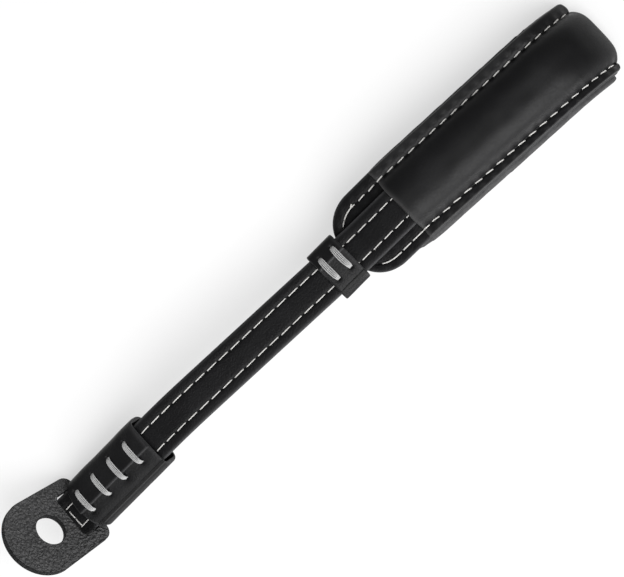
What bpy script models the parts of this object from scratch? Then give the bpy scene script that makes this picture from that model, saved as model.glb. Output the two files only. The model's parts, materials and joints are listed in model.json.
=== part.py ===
"""Camera hand grip strap: a leather band that runs through a padded grip, with a sliding keeper
loop and a screw tab that swings in the folded end. Lengths are in metres and +Z is up.

The strap is laid out along one line in side view. A distance s runs along that line from the open
end of the sleeve, at the tab, to the far end of the pad. A height h stands square to the line, and
h = 0 is the middle of the band's thickness. At the end everything is laid down on its two ends.
"""

import math

import bmesh
import bpy
from mathutils import Matrix, Vector

MM = 0.001
DEG = math.pi / 180

# Clearances
GAP = 0.3 * MM  # between pieces that touch
SEW_GAP = 0.25 * MM  # between layers that are sewn together
SIDE_PLAY = 0.5 * MM  # from the band's edge to the inside of the keeper
SLEEVE_PLAY = 0.75 * MM  # from the band's edge to the inside of the sleeve
BAR_PLAY = 0.5 * MM  # from the tab's bar to the fold round it, as the bar turns

# The line in side view, from the sleeve to the pad
SLEEVE_LENGTH = 31 * MM
SLEEVE_TO_BEND = 2 * MM
DROP_ANGLE = 28 * DEG
DROP_RADIUS = 36 * MM
PLAIN_RUN = 62 * MM
STEP_ANGLE = 19 * DEG
STEP_RADIUS = 20 * MM
STEP_SLOPE = 12.3 * MM
PAD_RUN = 51.2 * MM
PAD_BEND_ANGLE = 57.5 * DEG
PAD_BEND_RADIUS = 23.5 * MM
ARC_STEP = 6 * DEG
STRAIGHT_STEP = 12 * MM

# Band
BAND_WIDTH = 13.4 * MM
LAYER_THICKNESS = 1.05 * MM
BAND_ROUNDING = 0.35 * MM
TAIL_LENGTH = 22 * MM
LINING_INSET = 1.5 * MM
LOOP_REACH = 2.4 * MM  # from the bar's middle to the centre of the fold's round end
LOOP_CUTS = 9

# Screw tab
TAB_THICKNESS = 1.6 * MM
TAB_WIDTH = 24.4 * MM
TAB_NECK_WIDTH = 22.8 * MM
TAB_CORNER = 3.2 * MM
BAR_WIDTH = 2.4 * MM
SLOT_WIDTH = 6.4 * MM
SLOT_CORNER = 2 * MM
SLOT_BAR_CORNER = 0.8 * MM
SLOT_PLAY = 0.6 * MM
HOLE_RADIUS = 4.7 * MM
SLOT_TO_HOLE = 8.3 * MM
HOLE_TO_END = 16.1 * MM
TAB_ROUNDING = 0.25 * MM
TAB_ANGLE = 138 * DEG  # from the band's straight run to the tab's free end
TAB_SKEW = 4.2 * DEG  # how far the tab hangs askew on its bar

# Sleeve and keeper
WALL = 1.3 * MM
INNER_CORNER = 1.0 * MM
CROWN = 0.15 * MM
SHELL_ROUNDING = 0.3 * MM
SECTION_POWER = 3.4
SECTION_POINTS = 36
SLEEVE_BOW = 2.0 * MM
KEEPER_LENGTH = 9.8 * MM
KEEPER_SKEW = 2.4 * DEG
KEEPER_TO_STEP = 0.6 * MM

# Hand stitches, measured across from the band's middle
CORD_RADIUS = 0.8 * MM
CORD_FLATNESS = 0.6
STITCH_HOLE_RADIUS = 1.2 * MM
STITCH_HIGH = 5.4 * MM
STITCH_LOW = -2.8 * MM
SLEEVE_STITCHES = 4
SLEEVE_STITCH_PITCH = 7.7 * MM
SLEEVE_FIRST_STITCH = 2.3 * MM
KEEPER_STITCHES = 2
KEEPER_STITCH_PITCH = 4.9 * MM
STITCH_CUTS = 6
STITCH_BEND = 0.3  # where the cord bends over its hole's rim, as shares of the hole's radius
STITCH_BEND_RISE = 0.75  # and of the cord's full rise
HOLE_SIDES = 12

# Pad
BASE_THICKNESS = 1.6 * MM
BASE_ROUNDING = 0.3 * MM
PAD_HALF_START = 13.2 * MM
PAD_HALF_END = 13.5 * MM
PAD_SHIFT = 0.8 * MM  # how far the pad's outline lies to one side of the band
PAD_TIP_BEFORE_STEP = 1.3 * MM
PAD_NOSE_LENGTH = 11.4 * MM
PAD_NOSE_POWER = 2.3
PAD_NOSE_CUTS = 9
PAD_END_CORNER = 1.8 * MM
PAD_END_CUTS = 4
COVER_AFTER_STEP = 21 * MM
COVER_SLANT = 5 * DEG
COVER_SLANT_RUN = 12 * MM
COVER_THICKNESS = 1.1 * MM
COVER_INSET = 0.2 * MM
ROW_HALF = 10.2 * MM
COVER_CROWN = 1.2 * MM
COVER_END_CROWN = 0.2 * MM
COVER_CROWN_FADE = 26 * MM
COVER_RAMP_CUTS = 5
COVER_TOP_CUTS = 6
LINING_AFTER_STEP = 9 * MM
LINING_DEPTH = 5 * MM
LINING_NOSE_DEPTH = 1.5 * MM
LINING_WALL = 1.0 * MM
LINING_BULGE = 1.0 * MM
LINING_SHIFT = 0.4 * MM  # how far the lining lies to the same side
LINING_NOSE_INSET = 2.2 * MM
LINING_NOSE_LENGTH = 16 * MM
LINING_BELLY = (  # how far the outside is drawn in and how far down it is, as shares of the half
    (0.05, 0),  # width and of the depth, from the rim to the middle
    (0.01, 0.2),
    (0, 0.42),
    (0.02, 0.62),
    (0.08, 0.82),
    (0.18, 0.95),
    (0.32, 1),
    (1, 1),
)
FOAM_AFTER_LINING = 5 * MM
FOAM_INSET = 0.08  # these three are shares of the lining's half width and of the foam's depth
FOAM_TAPER = 0.2
FOAM_SHOULDER = 0.5

# Derived sizes
BAND_HALF = BAND_WIDTH / 2
BAND_TOP = GAP / 2 + LAYER_THICKNESS
LAYER_MIDDLE = BAND_TOP - LAYER_THICKNESS / 2
BAR_SWING = math.hypot(BAR_WIDTH, TAB_THICKNESS) / 2
LOOP_RADIUS = BAR_SWING + BAR_PLAY + LAYER_THICKNESS / 2
LOOP_OUTER = LOOP_RADIUS + LAYER_THICKNESS / 2
LOOP_HEIGHT = LAYER_MIDDLE - LOOP_RADIUS
HINGE_S = -(BAR_SWING + BAR_PLAY)
BASE_TOP = -BAND_TOP - GAP
BASE_BOTTOM = BASE_TOP - BASE_THICKNESS
COVER_FLANGE = BASE_TOP + SEW_GAP
COVER_INSIDE = BAND_TOP + GAP
LINING_TOP = BASE_BOTTOM - SEW_GAP

SEGMENTS = (
    (SLEEVE_LENGTH + SLEEVE_TO_BEND, 0),
    (DROP_RADIUS * DROP_ANGLE, -DROP_ANGLE),
    (PLAIN_RUN, 0),
    (STEP_RADIUS * STEP_ANGLE, STEP_ANGLE),
    (STEP_SLOPE, 0),
    (STEP_RADIUS * STEP_ANGLE, -STEP_ANGLE),
    (PAD_RUN, 0),
    (PAD_BEND_RADIUS * PAD_BEND_ANGLE, -PAD_BEND_ANGLE),
)
STEP_S = sum(length for length, turn in SEGMENTS[:3])
END_S = sum(length for length, turn in SEGMENTS)
PAD_TIP_S = STEP_S - PAD_TIP_BEFORE_STEP
COVER_S = STEP_S + COVER_AFTER_STEP
LINING_S = STEP_S + LINING_AFTER_STEP
FOAM_S = LINING_S + FOAM_AFTER_LINING


def line_at(s):
    """The line's point in side view at distance s, and its slope. It runs on straight past its ends."""
    x, z, slope, left = 0.0, 0.0, DROP_ANGLE, s
    for length, turn in SEGMENTS:
        part = min(left, length)
        if turn:
            radius = length / turn
            part = max(part, 0.0)
            turned = slope + part / radius
            x += radius * (math.sin(turned) - math.sin(slope))
            z -= radius * (math.cos(turned) - math.cos(slope))
            slope = turned
        else:
            x += part * math.cos(slope)
            z += part * math.sin(slope)
        left -= part
        if left <= 0:
            return x, z, slope
    return x + left * math.cos(slope), z + left * math.sin(slope), slope


def place(s, y, h):
    """The point at distance s along the line, y across it and h square to it."""
    x, z, slope = line_at(s)
    return Vector((x - h * math.sin(slope), y, z + h * math.cos(slope)))


def frame_at(s, h):
    """A matrix whose X runs along the line at s, whose Y runs across and whose Z is the height h."""
    return Matrix.Translation(place(s, 0, h)) @ Matrix.Rotation(-line_at(s)[2], 4, "Y")


def stations(start, end, extra=()):
    """Distances from start to end that follow the line's bends, with some extra ones."""
    cuts, s = [start, end, *extra], 0.0
    for length, turn in SEGMENTS:
        count = math.ceil(abs(turn) / ARC_STEP) if turn else math.ceil(length / STRAIGHT_STEP)
        cuts += [s + length * i / count for i in range(count + 1)]
        s += length
    kept = []
    for cut in sorted(cuts):
        if start <= cut <= end and (not kept or cut - kept[-1] > GAP):
            kept.append(cut)
    kept[-1] = end
    return kept


def new_object(name, mesh, material, root):
    obj = bpy.data.objects.new(name, mesh)
    bpy.data.collections["camera_hand_grip_strap"].objects.link(obj)
    obj.parent = root
    mesh.materials.append(material)
    return obj


def smooth(obj, angle=35 * DEG):
    obj.data.shade_smooth()
    obj.data.set_sharp_from_angle(angle=angle)


def skin(name, rows, material, root, closed=False):
    """A surface through rows of points. A closed one wraps round and is capped at both ends."""
    mesh = bpy.data.meshes.new(name)
    shape = bmesh.new()
    lines = [[shape.verts.new(point) for point in row] for row in rows]
    count = len(rows[0])
    for line, following in zip(lines, lines[1:]):
        for i in range(count if closed else count - 1):
            j = (i + 1) % count
            shape.faces.new((line[i], line[j], following[j], following[i]))
    if closed:
        shape.faces.new(lines[0])
        shape.faces.new(lines[-1])
    bmesh.ops.recalc_face_normals(shape, faces=shape.faces)
    shape.to_mesh(mesh)
    shape.free()
    return new_object(name, mesh, material, root)


def thicken(obj, thickness, side):
    """Solidify on one side of the surface (1 or -1), or on both sides alike (0)."""
    modifier = obj.modifiers.new("thickness", "SOLIDIFY")
    modifier.thickness = thickness
    modifier.offset = side
    modifier.use_even_offset = True


def round_edges(obj, width, segments=2, angle=40 * DEG, clamp=True):
    modifier = obj.modifiers.new("rounding", "BEVEL")
    modifier.use_clamp_overlap = clamp
    modifier.width = width
    modifier.segments = segments
    modifier.limit_method = "ANGLE"
    modifier.angle_limit = angle


def curve_mesh(name, curve):
    """The mesh of a curve, with its loose caps welded on. The curve is removed."""
    guide = bpy.data.objects.new(name, curve)
    bpy.context.scene.collection.objects.link(guide)
    graph = bpy.context.evaluated_depsgraph_get()
    mesh = bpy.data.meshes.new_from_object(guide.evaluated_get(graph))
    bpy.data.objects.remove(guide)
    bpy.data.curves.remove(curve)
    shape = bmesh.new()
    shape.from_mesh(mesh)
    bmesh.ops.remove_doubles(shape, verts=shape.verts, dist=0.001 * MM)
    bmesh.ops.recalc_face_normals(shape, faces=shape.faces)
    shape.to_mesh(mesh)
    shape.free()
    return mesh


def flat_curve(name, outlines, thickness):
    """A 2D curve with these closed outlines, filled and extruded. Inner outlines are holes."""
    curve = bpy.data.curves.new(name, "CURVE")
    curve.dimensions = "2D"
    curve.fill_mode = "BOTH"
    curve.extrude = thickness / 2
    for outline in outlines:
        spline = curve.splines.new("POLY")
        spline.points.add(len(outline) - 1)
        for point, (x, y) in zip(spline.points, outline):
            point.co = (x, y, 0, 1)
        spline.use_cyclic_u = True
    return curve


def arc(centre, radius, start, end, cuts):
    """Points on an arc, from one angle to another."""
    angles = [start + (end - start) * i / cuts for i in range(cuts + 1)]
    return [(centre[0] + radius * math.cos(a), centre[1] + radius * math.sin(a)) for a in angles]


def rounded_box(half_x, half_y, radius, middle=(0, 0), cuts=4):
    """The outline of a rectangle with round corners."""
    points = []
    for quarter, (side_x, side_y) in enumerate(((1, 1), (-1, 1), (-1, -1), (1, -1))):
        corner = (
            middle[0] + side_x * (half_x - radius),
            middle[1] + side_y * (half_y - radius),
        )
        points += arc(corner, radius, quarter * 90 * DEG, (quarter + 1) * 90 * DEG, cuts)
    return points


def section_point(half_x, half_y, angle):
    """A point of a soft box section, between an ellipse and a rectangle."""
    c, s = math.cos(angle), math.sin(angle)
    x = math.copysign(abs(c) ** (2 / SECTION_POWER), c) * half_x
    y = math.copysign(abs(s) ** (2 / SECTION_POWER), s) * half_y
    return x, y


def section_height(half_x, half_y, x):
    """The height of that section's surface at x."""
    return half_y * (1 - abs(x / half_x) ** SECTION_POWER) ** (1 / SECTION_POWER)


def soft_tube(name, length, inner_half, inner_height, material, root):
    """A flattened leather tube along X, with a soft outer section and a boxy inside."""
    outer_half, outer_height = shell_size(inner_half, inner_height)
    turns = [2 * math.pi * i / SECTION_POINTS for i in range(SECTION_POINTS)]
    outside = [section_point(outer_half, outer_height, turn) for turn in turns]
    inside = rounded_box(inner_half, inner_height, INNER_CORNER)
    mesh = curve_mesh(name, flat_curve(name, (outside, inside), length))
    along_x = Matrix(((0, 0, 1, 0), (1, 0, 0, 0), (0, 1, 0, 0), (0, 0, 0, 1)))
    mesh.transform(along_x)
    return new_object(name, mesh, material, root)


def shell_size(inner_half, inner_height):
    """The outer half width and half height of a tube's section round that inside."""
    return inner_half + WALL, inner_height + WALL + CROWN


def punch(obj, places, low, high):
    """Stitch holes through the front wall of a tube, from one height to another."""
    mesh = bpy.data.meshes.new(obj.name + "_holes")
    shape = bmesh.new()
    for x, y in places:
        bmesh.ops.create_cone(
            shape,
            cap_ends=True,
            segments=HOLE_SIDES,
            radius1=STITCH_HOLE_RADIUS,
            radius2=STITCH_HOLE_RADIUS,
            depth=high - low,
            matrix=Matrix.Translation((x, y, (low + high) / 2)),
        )
    shape.to_mesh(mesh)
    shape.free()
    cutter = bpy.data.objects.new(mesh.name, mesh)
    bpy.data.collections["cutters"].objects.link(cutter)
    cutter.hide_render = True
    cutter.display_type = "WIRE"
    cutter.parent = obj
    cut = obj.modifiers.new("stitch_holes", "BOOLEAN")
    cut.object = cutter
    cut.operation = "DIFFERENCE"


def hand_stitch(name, x, surface, leg_foot, material, carrier):
    """A flattened cord over the front of a tube, with its ends down in their holes."""
    flat = CORD_FLATNESS
    rise = GAP + CORD_RADIUS * flat
    lead = STITCH_HOLE_RADIUS
    route = [
        (STITCH_HIGH, leg_foot),
        (STITCH_HIGH, surface(STITCH_HIGH)),
        (STITCH_HIGH - lead * STITCH_BEND, surface(STITCH_HIGH) + rise * STITCH_BEND_RISE),
    ]
    for i in range(STITCH_CUTS + 1):
        y = STITCH_HIGH - lead + (STITCH_LOW - STITCH_HIGH + 2 * lead) * i / STITCH_CUTS
        route.append((y, surface(y) + rise))
    route += [
        (STITCH_LOW + lead * STITCH_BEND, surface(STITCH_LOW) + rise * STITCH_BEND_RISE),
        (STITCH_LOW, surface(STITCH_LOW)),
        (STITCH_LOW, leg_foot),
    ]
    curve = bpy.data.curves.new(name, "CURVE")
    curve.dimensions = "3D"
    curve.bevel_depth = CORD_RADIUS
    curve.bevel_resolution = 2
    curve.use_fill_caps = True
    spline = curve.splines.new("POLY")
    spline.points.add(len(route) - 1)
    for point, (y, z) in zip(spline.points, route):
        point.co = (0, y, z / flat, 1)
    mesh = curve_mesh(name, curve)
    mesh.transform(Matrix.Diagonal((1, 1, flat, 1)))
    obj = new_object(name, mesh, material, carrier)
    obj.location.x = x
    smooth(obj)
    return obj


def stitched_tube(name, length, inner_half, inner_height, leather, cord, count, pitch, first, root):
    """A tube with its holes and its row of hand stitches, named after it."""
    tube = soft_tube(name, length, inner_half, inner_height, leather, root)
    outer_half, outer_height = shell_size(inner_half, inner_height)
    places = [-length / 2 + first + i * pitch for i in range(count)]
    holes = [(x, y) for x in places for y in (STITCH_HIGH, STITCH_LOW)]
    punch(tube, holes, inner_height - GAP, outer_height + WALL)

    def surface(y):
        return section_height(outer_half, outer_height, y)

    for i, x in enumerate(places):
        hand_stitch(f"{name}_stitch_{i + 1}", x, surface, inner_height + GAP, cord, tube)
    return tube


def end_sleeve(leather, cord, root):
    """The sleeve that holds the folded end of the band, with its front rim bowed over the fold."""
    inner_half = BAND_HALF + SLEEVE_PLAY
    inner_height = LOOP_OUTER + GAP
    tube = stitched_tube(
        "sleeve",
        SLEEVE_LENGTH,
        inner_half,
        inner_height,
        leather,
        cord,
        SLEEVE_STITCHES,
        SLEEVE_STITCH_PITCH,
        SLEEVE_FIRST_STITCH,
        root,
    )
    outer_half, outer_height = shell_size(inner_half, inner_height)
    for vertex in tube.data.vertices:
        x, y, z = vertex.co
        if x < 0 and z > 0:
            vertex.co.x -= SLEEVE_BOW * (1 - (y / outer_half) ** 2) * z / outer_height
    round_edges(tube, SHELL_ROUNDING)
    tube.matrix_local = frame_at(SLEEVE_LENGTH / 2, LOOP_HEIGHT)
    smooth(tube)


def sliding_keeper(leather, cord, root):
    """The loop that slides on the band and holds the tip of the pad."""
    highest = BAND_TOP + GAP
    lowest = BASE_BOTTOM - GAP
    tube = stitched_tube(
        "keeper",
        KEEPER_LENGTH,
        BAND_HALF + SIDE_PLAY,
        (highest - lowest) / 2,
        leather,
        cord,
        KEEPER_STITCHES,
        KEEPER_STITCH_PITCH,
        (KEEPER_LENGTH - KEEPER_STITCH_PITCH) / 2,
        root,
    )
    round_edges(tube, SHELL_ROUNDING)
    middle = STEP_S - KEEPER_TO_STEP - KEEPER_LENGTH / 2
    tube.matrix_local = frame_at(middle, (highest + lowest) / 2) @ Matrix.Rotation(
        KEEPER_SKEW, 4, "Z"
    )
    smooth(tube)


def band_layer(name, points, half, material, root):
    """One leather layer of the band, from the middle points of its rows."""
    rows = [[Vector((p.x, half, p.z)), Vector((p.x, -half, p.z))] for p in points]
    layer = skin(name, rows, material, root)
    thicken(layer, LAYER_THICKNESS, 0)
    round_edges(layer, BAND_ROUNDING)
    smooth(layer)


def fold_points():
    """The tail inside the sleeve and the fold round the tab's bar, in side view."""
    centre_s = HINGE_S - LOOP_REACH
    points = [place(centre_s + TAIL_LENGTH, 0, LOOP_HEIGHT - LOOP_RADIUS)]
    for i in range(LOOP_CUTS + 1):
        turn = math.pi * i / LOOP_CUTS
        s = centre_s - LOOP_RADIUS * math.sin(turn)
        points.append(place(s, 0, LOOP_HEIGHT - LOOP_RADIUS * math.cos(turn)))
    return points


def band(material, root):
    """The front layer folds through the tab's slot, and the back layer stops inside the sleeve."""
    far_end = END_S - GAP
    front = fold_points() + [place(s, 0, LAYER_MIDDLE) for s in stations(GAP, far_end)]
    back = [place(s, 0, -LAYER_MIDDLE) for s in stations(LINING_INSET, far_end)]
    band_layer("band_front", front, BAND_HALF, material, root)
    band_layer("band_back", back, BAND_HALF, material, root)


def tab_outline():
    """The tab seen square on. X runs from the bar's middle to the free end."""
    end = BAR_WIDTH / 2 + SLOT_WIDTH + SLOT_TO_HOLE + HOLE_TO_END
    half, neck = TAB_WIDTH / 2, TAB_NECK_WIDTH / 2
    back = -BAR_WIDTH / 2
    tip = arc((end - half, 0), half, -90 * DEG, 90 * DEG, 20)
    high = arc((back + TAB_CORNER, neck - TAB_CORNER), TAB_CORNER, 90 * DEG, 180 * DEG, 5)
    low = arc((back + TAB_CORNER, TAB_CORNER - neck), TAB_CORNER, 180 * DEG, 270 * DEG, 5)
    return tip + high + low


def slot_outline():
    """The slot for the band, with tighter corners beside the bar."""
    near, far, half = BAR_WIDTH / 2, BAR_WIDTH / 2 + SLOT_WIDTH, BAND_HALF + SLOT_PLAY
    big, small = SLOT_CORNER, SLOT_BAR_CORNER
    return (
        arc((far - big, half - big), big, 0, 90 * DEG, 4)
        + arc((near + small, half - small), small, 90 * DEG, 180 * DEG, 3)
        + arc((near + small, small - half), small, 180 * DEG, 270 * DEG, 3)
        + arc((far - big, big - half), big, 270 * DEG, 360 * DEG, 4)
    )


def swing_tab(material, root):
    """The tab that takes the tripod screw. It swings on its bar, inside the band's fold."""
    hole_middle = BAR_WIDTH / 2 + SLOT_WIDTH + SLOT_TO_HOLE
    hole = arc((hole_middle, 0), HOLE_RADIUS, 0, 345 * DEG, 23)
    curve = flat_curve("tab", (tab_outline(), slot_outline(), hole), TAB_THICKNESS)
    tab = new_object("tab", curve_mesh("tab", curve), material, root)
    round_edges(tab, TAB_ROUNDING, clamp=False)
    tilt = Matrix.Rotation(-TAB_ANGLE, 4, "Y") @ Matrix.Rotation(TAB_SKEW, 4, "Z")
    tab.matrix_local = Matrix.Translation(place(HINGE_S, 0, LOOP_HEIGHT)) @ tilt
    smooth(tab)


def pad_half(s):
    """Half the pad's width at s, with its round nose and its small end corners."""
    share = (s - PAD_TIP_S) / (END_S - PAD_TIP_S)
    half = PAD_HALF_START + (PAD_HALF_END - PAD_HALF_START) * share
    to_full = 1 - (s - PAD_TIP_S) / PAD_NOSE_LENGTH
    if to_full > 0:
        half *= (1 - to_full**PAD_NOSE_POWER) ** (1 / PAD_NOSE_POWER)
    into_corner = s - (END_S - PAD_END_CORNER)
    if into_corner > 0:
        half += math.sqrt(max(PAD_END_CORNER**2 - into_corner**2, 0)) - PAD_END_CORNER
    return half


def end_cuts():
    """Distances that follow the pad's round end corners."""
    turns = [90 * DEG * i / PAD_END_CUTS for i in range(PAD_END_CUTS)]
    return [END_S - PAD_END_CORNER * (1 - math.sin(turn)) for turn in turns]


def nose_cuts():
    """Distances that follow the pad's round nose, closest together at the tip."""
    shares = [i / PAD_NOSE_CUTS for i in range(1, PAD_NOSE_CUTS + 1)]
    return [PAD_TIP_S + PAD_NOSE_LENGTH * share**2 for share in shares]


def pad_base(material, root):
    """The leather under the band, whose tip is tucked in the keeper."""
    middle = (BASE_TOP + BASE_BOTTOM) / 2
    cuts = stations(PAD_TIP_S + GAP, END_S, [*nose_cuts(), *end_cuts()])
    rows = [[place(s, PAD_SHIFT + side * pad_half(s), middle) for side in (1, -1)] for s in cuts]
    base = skin("pad_base", rows, material, root)
    thicken(base, BASE_THICKNESS, 0)
    round_edges(base, BASE_ROUNDING)
    smooth(base)


def cover_profile(s, side):
    """The cover's inside on one side in section, from its flange to the middle, as (y, height)."""
    ramp_end = BAND_HALF + GAP
    fade = min((END_S - s) / COVER_CROWN_FADE, 1)
    crown = COVER_END_CROWN + (COVER_CROWN - COVER_END_CROWN) * fade * (2 - fade)
    points = [(pad_half(s) - COVER_INSET + side * PAD_SHIFT, COVER_FLANGE)]
    for i in range(COVER_RAMP_CUTS + 1):
        share = i / COVER_RAMP_CUTS
        eased = share * share * (3 - 2 * share)
        y = ROW_HALF + (ramp_end - ROW_HALF) * share
        points.append((y, COVER_FLANGE + (COVER_INSIDE - COVER_FLANGE) * eased))
    for i in range(1, COVER_TOP_CUTS + 1):
        y = ramp_end * (1 - i / COVER_TOP_CUTS)
        points.append((y, COVER_INSIDE + crown * (1 - (y / ramp_end) ** 2)))
    return points


def pad_cover(material, root):
    """The tunnel of smooth leather over the band, sewn down along both sides of the pad."""
    rows = []
    for s in stations(COVER_S, END_S, end_cuts()):
        right, left = cover_profile(s, 1), cover_profile(s, -1)
        across = right + [(-y, h) for y, h in reversed(left[:-1])]
        lag = math.tan(COVER_SLANT) * max(1 - (s - COVER_S) / COVER_SLANT_RUN, 0)
        rows.append([place(s - lag * y, y, h) for y, h in across])
    cover = skin("pad_cover", rows, material, root)
    thicken(cover, COVER_THICKNESS, cover_side(cover))
    round_edges(cover, BASE_ROUNDING, 1, 60 * DEG)
    smooth(cover)


def cover_side(surface):
    """The Solidify side that builds away from the band."""
    up = sum((polygon.normal.z * polygon.area for polygon in surface.data.polygons), 0.0)
    return math.copysign(1, up)


def lining_size(s):
    """The lining's half width and its depth below the base, from its thin nose to full size."""
    share = min((s - LINING_S) / LINING_NOSE_LENGTH, 1)
    eased = share * (2 - share)
    half = pad_half(s) + LINING_BULGE * eased - LINING_NOSE_INSET * (1 - eased)
    depth = LINING_NOSE_DEPTH + (LINING_DEPTH - LINING_NOSE_DEPTH) * eased
    return half, depth


def lining_section(half, depth):
    """Half of the lining's outside in section, from its rim down to the middle."""
    return [(half * (1 - inset), LINING_TOP - depth * down) for inset, down in LINING_BELLY]


def pad_lining(material, root):
    """The soft lining against the hand, sewn to the base all round and filled with foam."""
    rows = []
    for s in stations(LINING_S, END_S, end_cuts()):
        profile = lining_section(*lining_size(s))
        across = profile + [(-y, h) for y, h in reversed(profile[:-1])]
        rows.append([place(s, LINING_SHIFT + y, h) for y, h in across])
    lining = skin("pad_lining", rows, material, root)
    thicken(lining, LINING_WALL, cover_side(lining))
    round_edges(lining, BASE_ROUNDING, 1, 60 * DEG)
    smooth(lining)


def pad_foam(material, root):
    """The foam between the base and the lining."""
    rows = []
    for s in stations(FOAM_S, END_S - GAP):
        half, depth = lining_size(s)
        low = LINING_TOP - depth + LINING_WALL + GAP
        inner = half * (1 - FOAM_TAPER) - LINING_WALL
        outer = half * (1 - FOAM_INSET) - LINING_WALL
        shoulder = low + (LINING_TOP - low) * FOAM_SHOULDER
        ring = ((outer, LINING_TOP), (outer, shoulder), (inner, low))
        ring += tuple((-y, h) for y, h in reversed(ring))
        rows.append([place(s, LINING_SHIFT + y, h) for y, h in ring])
    foam = skin("pad_foam", rows, material, root, closed=True)
    smooth(foam)


def surface_material(name, colour, roughness):
    material = bpy.data.materials.new(name)
    material.use_nodes = True
    shader = material.node_tree.nodes["Principled BSDF"]
    shader.inputs["Base Color"].default_value = (*colour, 1)
    shader.inputs["Roughness"].default_value = roughness
    shader.inputs["Metallic"].default_value = 0
    material.diffuse_color = (*colour, 1)
    return material


def side_view_points(root):
    """Every evaluated vertex of the strap, under its root's rotation."""
    bpy.context.view_layer.update()
    graph = bpy.context.evaluated_depsgraph_get()
    points = []
    for obj in root.children_recursive:
        if obj.type == "MESH" and not obj.hide_render:
            shown = obj.evaluated_get(graph)
            points += [shown.matrix_world @ vertex.co for vertex in shown.data.vertices]
    return points


def resting_slope(points):
    """The slope of the lower edge of the side view that lies under its middle."""
    middle = (min(p.x for p in points) + max(p.x for p in points)) / 2
    edge = []
    for p in sorted(points, key=lambda point: (point.x, point.z)):
        while len(edge) > 1 and (edge[-1].x - edge[-2].x) * (p.z - edge[-2].z) <= (
            edge[-1].z - edge[-2].z
        ) * (p.x - edge[-2].x):
            edge.pop()
        edge.append(p)
    for left, right in zip(edge, edge[1:]):
        if left.x <= middle < right.x:
            return math.atan2(right.z - left.z, right.x - left.x)
    return 0.0


def lay_down(root):
    """Turns the strap so that it rests on its two ends, and puts the origin under its middle."""
    root.rotation_euler.y = resting_slope(side_view_points(root))
    points = side_view_points(root)
    lows = [min(p[axis] for p in points) for axis in range(3)]
    highs = [max(p[axis] for p in points) for axis in range(3)]
    root.location = (-(lows[0] + highs[0]) / 2, -(lows[1] + highs[1]) / 2, -lows[2])


def main():
    for obj in list(bpy.data.objects):
        bpy.data.objects.remove(obj)
    for name in ("camera_hand_grip_strap", "cutters"):
        bpy.context.scene.collection.children.link(bpy.data.collections.new(name))
    root = bpy.data.objects.new("strap_frame", None)
    bpy.data.collections["camera_hand_grip_strap"].objects.link(root)
    band_leather = surface_material("band_leather", (0.012, 0.012, 0.013), 0.55)
    wrap_leather = surface_material("wrap_leather", (0.02, 0.02, 0.021), 0.5)
    pad_leather = surface_material("pad_leather", (0.01, 0.01, 0.011), 0.4)
    tab_leather = surface_material("tab_leather", (0.05, 0.05, 0.052), 0.75)
    lining_leather = surface_material("lining_leather", (0.03, 0.03, 0.031), 0.85)
    foam = surface_material("foam", (0.06, 0.06, 0.06), 0.95)
    waxed_cord = surface_material("waxed_cord", (0.42, 0.42, 0.42), 0.6)
    band(band_leather, root)
    swing_tab(tab_leather, root)
    end_sleeve(wrap_leather, waxed_cord, root)
    sliding_keeper(wrap_leather, waxed_cord, root)
    pad_base(band_leather, root)
    pad_cover(pad_leather, root)
    pad_lining(lining_leather, root)
    pad_foam(foam, root)
    lay_down(root)


main()
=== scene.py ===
"""Looks of the camera hand grip strap, with its floor, light and camera."""

import json
import math

import bmesh
import bpy
import numpy as np
from mathutils import Matrix, Vector, noise


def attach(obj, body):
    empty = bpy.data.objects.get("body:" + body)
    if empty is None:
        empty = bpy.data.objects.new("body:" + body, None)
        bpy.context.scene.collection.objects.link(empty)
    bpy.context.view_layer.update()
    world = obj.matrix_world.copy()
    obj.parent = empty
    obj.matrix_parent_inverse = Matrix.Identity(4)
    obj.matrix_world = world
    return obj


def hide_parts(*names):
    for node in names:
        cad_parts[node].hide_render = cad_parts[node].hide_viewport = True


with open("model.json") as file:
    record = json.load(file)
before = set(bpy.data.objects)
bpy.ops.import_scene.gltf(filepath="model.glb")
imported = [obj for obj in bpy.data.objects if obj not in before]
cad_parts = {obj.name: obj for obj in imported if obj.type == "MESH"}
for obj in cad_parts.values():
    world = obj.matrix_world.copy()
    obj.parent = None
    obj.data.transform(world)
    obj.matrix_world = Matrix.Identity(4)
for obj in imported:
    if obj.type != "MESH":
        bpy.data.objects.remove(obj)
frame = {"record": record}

MM = 0.001
DEG = math.pi / 180
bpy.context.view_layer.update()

# The strap's line in side view, as the solids have it
GAP = 0.3 * MM
SEW_GAP = 0.25 * MM
SLEEVE_LENGTH = 31 * MM
SLEEVE_TO_BEND = 2 * MM
DROP_ANGLE = 28 * DEG
DROP_RADIUS = 36 * MM
PLAIN_RUN = 62 * MM
STEP_ANGLE = 19 * DEG
STEP_RADIUS = 20 * MM
STEP_SLOPE = 12.3 * MM
PAD_RUN = 51.2 * MM
PAD_BEND_ANGLE = 57.5 * DEG
PAD_BEND_RADIUS = 23.5 * MM
SEGMENTS = (
    (SLEEVE_LENGTH + SLEEVE_TO_BEND, 0),
    (DROP_RADIUS * DROP_ANGLE, -DROP_ANGLE),
    (PLAIN_RUN, 0),
    (STEP_RADIUS * STEP_ANGLE, STEP_ANGLE),
    (STEP_SLOPE, 0),
    (STEP_RADIUS * STEP_ANGLE, -STEP_ANGLE),
    (PAD_RUN, 0),
    (PAD_BEND_RADIUS * PAD_BEND_ANGLE, -PAD_BEND_ANGLE),
)
STEP_S = sum(length for length, turn in SEGMENTS[:3])
END_S = sum(length for length, turn in SEGMENTS)

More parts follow.
